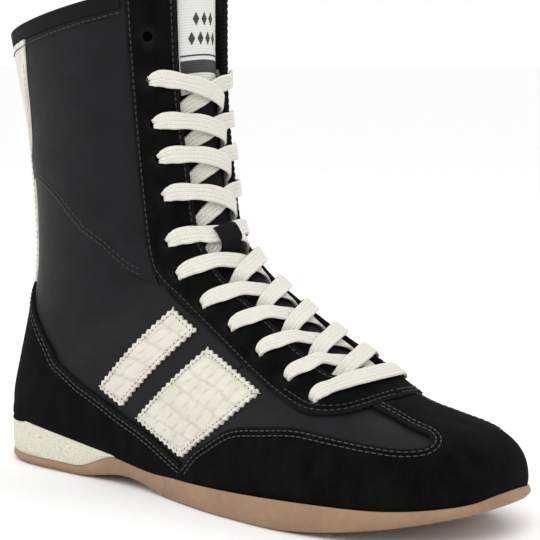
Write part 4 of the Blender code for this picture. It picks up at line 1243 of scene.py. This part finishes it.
def cross_over(row, side):
    """From outside one eyelet, across the tongue, to inside the next row's opposite one."""
    start, end = EYELET_RIBS[row], EYELET_RIBS[row + 1]
    over = lace_depth()
    on_top = -1 if row < FIRST_MEDIAL_ROW else 1
    if side == on_top:
        heights = (over, over, 0.8 * over, 0.6 * over, 0.55 * over, 0.25 * over, INSIDE_LACE)
    else:
        heights = (over, 0.1 * over, -0.15 * over, 0.35 * INSIDE_LACE, 0.4 * INSIDE_LACE,
                   0.6 * INSIDE_LACE, INSIDE_LACE)
    shares = (0.17, 0.28, 0.385, 0.49, 0.60, 0.71, 0.87)
    places = (0.125, 0.08, 0.04, 0.0, -0.04, -0.08, -0.13)
    if row == len(EYELET_RIBS) - 2:
        shares = (0.09, 0.21, 0.33, 0.45, 0.55, 0.65, 0.76)
        places = (0.125, 0.08, 0.04, 0.0, -0.035, -0.07, -0.12)
    folds = (0.25, 0.05, 0.0, 0.0, 0.0, 0.1, 0.35)
    aside = KEEPER_ASIDE if row == KEEPER_ROW else 0.0
    path = [(start - share * (start - end), side * s + aside * (1 - (s / 0.14) ** 2), height, fold)
            for share, s, height, fold in zip(shares, places, heights, folds)]
    first = (start - 0.06 * (start - end), side * 0.172, over + 0.1, 0.0)
    return [first] + path + [(end, -side * 0.175, INSIDE_LACE, 0.7)]


def bottom_bar():
    """The lowest row, straight across on top."""
    t, over = EYELET_RIBS[-1], lace_depth()
    return [(t - share, s, over + lift, fold)
            for s, share, lift, fold in ((-0.17, 0.04, 0.2, 0.4), (-0.12, 0.1, 0.4, 0.1),
                                         (-0.06, 0.16, 0.6, 0), (0.0, 0.18, 0.6, 0),
                                         (0.06, 0.16, 0.6, 0), (0.12, 0.1, 0.4, 0.1),
                                         (0.17, 0.04, 0.2, 0.4))]


def lace_route():
    """The lace from the lateral end as (t, s, depth, fold) places; fold 1 is bunched in a hole."""
    last = len(EYELET_RIBS) - 1
    half = []
    for first in (-1, 1):
        route = [(EYELET_RIBS[0] + rise, first * s, INSIDE_LACE, 1.0)
                 for rise, s in ((0.10, 0.25), (0.06, 0.243), (0.02, 0.235))]
        side = first
        for row in range(last):
            route += out_of_eyelet(row, side) + cross_over(row, side)
            side = -side
        half.append(route + out_of_eyelet(last, side))
    down, up = half
    if down[-1][1] > 0:
        return down + bottom_bar()[::-1] + up[::-1]
    return down + bottom_bar() + up[::-1]


def ribbed_section(ribs=4, steps=9, depth=0.34):
    """Cross-section of the woven lace, as shares of its width and thickness: ribs on each face."""
    across_lace = np.linspace(-0.5, 0.5, ribs * steps + 1)
    crown = np.abs(np.sin((across_lace + 0.5) * ribs * math.pi)) ** 0.7
    edge = np.sqrt(np.maximum(1 - (across_lace / 0.505) ** 8, 0))
    return two_faced(np.stack([across_lace, 0.5 * edge * (1 - depth + depth * crown)], axis=1))


def make_lace():
    route = np.array(lace_route(), float)
    points = at(route[:, 0], route[:, 1], route[:, 2])
    where = arc_lengths(points)
    tangents = np.clip(np.gradient(points, where, axis=0), -1, 1)
    centres, folds, ups = [], [], []
    up_all = normals(route[:, 0], route[:, 1])
    for i, length in enumerate(np.diff(where)):
        steps = max(int(length / 0.8), 3)
        for u in np.arange(steps) / steps:
            centres.append(hermite(points[i], points[i + 1], tangents[i] * length,
                                   tangents[i + 1] * length, u))
            soft = 3 * u**2 - 2 * u**3
            folds.append(route[i, 3] * (1 - soft) + route[i + 1, 3] * soft)
            ups.append(unit(up_all[i] * (1 - u) + up_all[i + 1] * u))
    centres, folds, ups = smoothed(np.array(centres), 2), np.array(folds), np.array(ups)
    ahead = unit(np.gradient(centres, axis=0))
    wide_axes, wide = [], None
    for along, up in zip(ahead, ups):
        flat = along - up * np.dot(along, up)
        if wide is None or np.linalg.norm(flat) > 0.5:
            new = np.cross(up, flat)
        else:
            new = wide - along * np.dot(wide, along)
        new = unit(new)
        if wide is not None and np.dot(new, wide) < 0:
            new = -new
        wide = new
        wide_axes.append(new)
    wide_axes = np.array(wide_axes)
    for _ in range(4):
        wide_axes[1:-1] = unit(wide_axes[:-2] + 2 * wide_axes[1:-1] + wide_axes[2:])
    wide_axes = unit(wide_axes - ahead * (wide_axes * ahead).sum(1, keepdims=True))
    thick_axes = np.cross(ahead, wide_axes)
    section = ribbed_section()
    width = LACE_WIDTH * (1 - folds) + BUNCH_WIDTH * folds
    thickness = LACE_THICKNESS * (1 - folds) + BUNCH_THICKNESS * folds
    sections = section[None] * np.stack([width, thickness], axis=1)[:, None]
    # The flat lace cups a little along its length.
    cup = (0.25 - section[None, :, 0] ** 2) * 1.2 * (1 - folds[:, None])
    sections[..., 1] += cup * 0.5
    # Near an eyelet the lace folds along its middle, which shows as a groove.
    crease = 1 - 0.62 * folds[:, None] * np.exp(-(section[None, :, 0] / 0.13) ** 2)
    sections[..., 1] *= crease
    cloth = cloth_of(arc_lengths(centres), section[:, 0] * LACE_WIDTH)
    piece = tube("lace_woven", centres, wide_axes, thick_axes, sections, COTTON,
                 marks={"cloth": cloth}, sharp=60)
    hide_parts("lace")


def make_keeper():
    """A ribbed tape sewn to the tongue above and below one crossing, arched over the lace."""
    upper, lower = EYELET_RIBS[KEEPER_ROW], EYELET_RIBS[KEEPER_ROW + 1]
    ribs = np.array([lower + 0.04, lower + 0.1, lower + 0.26, (upper + lower) / 2, upper - 0.26,
                     upper - 0.1, upper - 0.04])
    low = -2.6
    depths = np.array([low, low, 3.2, 4.1, 3.2, low, low]) + 0.35
    points = at(ribs, 0 * ribs + KEEPER_ASIDE, depths)
    where = arc_lengths(points)
    fine = np.linspace(0, where[-1], 60)
    centres = smoothed(np.stack([np.interp(fine, where, points[:, k]) for k in range(3)], axis=1), 8)
    ahead = unit(np.gradient(centres, axis=0))
    facing = normals(np.full(len(centres), 8.4), np.full(len(centres), KEEPER_ASIDE))
    wide = unit(np.cross(facing, ahead))
    thick = np.cross(ahead, wide)
    across_tape = np.linspace(-5.7, 5.7, 15)
    edge = 0.45 * np.sqrt(np.maximum(1 - (across_tape / 5.75) ** 8, 0))
    section = two_faced(np.stack([across_tape, edge], axis=1))
    cloth = cloth_of(arc_lengths(centres), section[:, 0])
    piece = tube("keeper_loop", centres, wide, thick, section, TAPE, marks={"cloth": cloth})
    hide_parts("lace_keeper")


# Room

def aimed(obj, place, target):
    obj.location = place
    obj.rotation_euler = (Vector(target) - Vector(place)).to_track_quat("-Z", "Y").to_euler()
    bpy.context.scene.collection.objects.link(obj)
    return obj


def area_light(name, place, target, size, power):
    lamp = bpy.data.lights.new(name, "AREA")
    lamp.shape = "RECTANGLE"
    lamp.size, lamp.size_y = size
    lamp.energy = power
    return aimed(bpy.data.objects.new(name, lamp), place, target)


def make_room():
    mesh = bpy.data.meshes.new("floor")
    mesh.from_pydata([(-60, -60, 0), (60, -60, 0), (60, 60, 0), (-60, 60, 0)], [], [(0, 1, 2, 3)])
    mesh.materials.append(floor_look())
    floor = bpy.data.objects.new("floor", mesh)
    bpy.context.scene.collection.objects.link(floor)
    world = bpy.data.worlds.new("room")
    bpy.context.scene.world = world
    world.use_nodes = True
    world.node_tree.nodes["Background"].inputs["Color"].default_value = (1, 1, 1, 1)
    world.node_tree.nodes["Background"].inputs["Strength"].default_value = 1.0
    area_light("key", (0.5, -0.9, 1.1), (0, 0, 0.1), (0.8, 0.8), 6)
    area_light("fill", (-0.9, -0.8, 0.7), (0, 0, 0.12), (0.9, 0.9), 2.5)
    area_light("rim", (0.1, 1.0, 1.0), (0, 0, 0.12), (0.9, 0.6), 3)
    bpy.context.scene.view_settings.view_transform = "Standard"
    camera = bpy.data.cameras.new("camera")
    camera.lens = 118.2
    camera.sensor_width = 36
    camera.shift_x, camera.shift_y = 0.0463, -0.0056
    camera.clip_start = 0.01
    bpy.context.scene.camera = aimed(bpy.data.objects.new("camera", camera),
                                     (0.5136, -0.6118, 0.195), (-0.0006, 0.001, 0.10244))


def finish_hidden():
    """The layers between lining and upper keep their solids, with their own materials."""
    for node, look in (("toe_puff", BOARD), ("heel_counter", BOARD), ("insole_board", BOARD),
                       ("collar_foam", FOAM)):
        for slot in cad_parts[node].material_slots:
            slot.material = look


make_room()
make_lace()
make_base()
make_toe_cap()
make_heel()
make_back_panel()
make_bars()
make_eyestay()
make_lining()
make_collar_binding()
make_tongue()
make_label()
make_keeper()
make_sole()
finish_hidden()
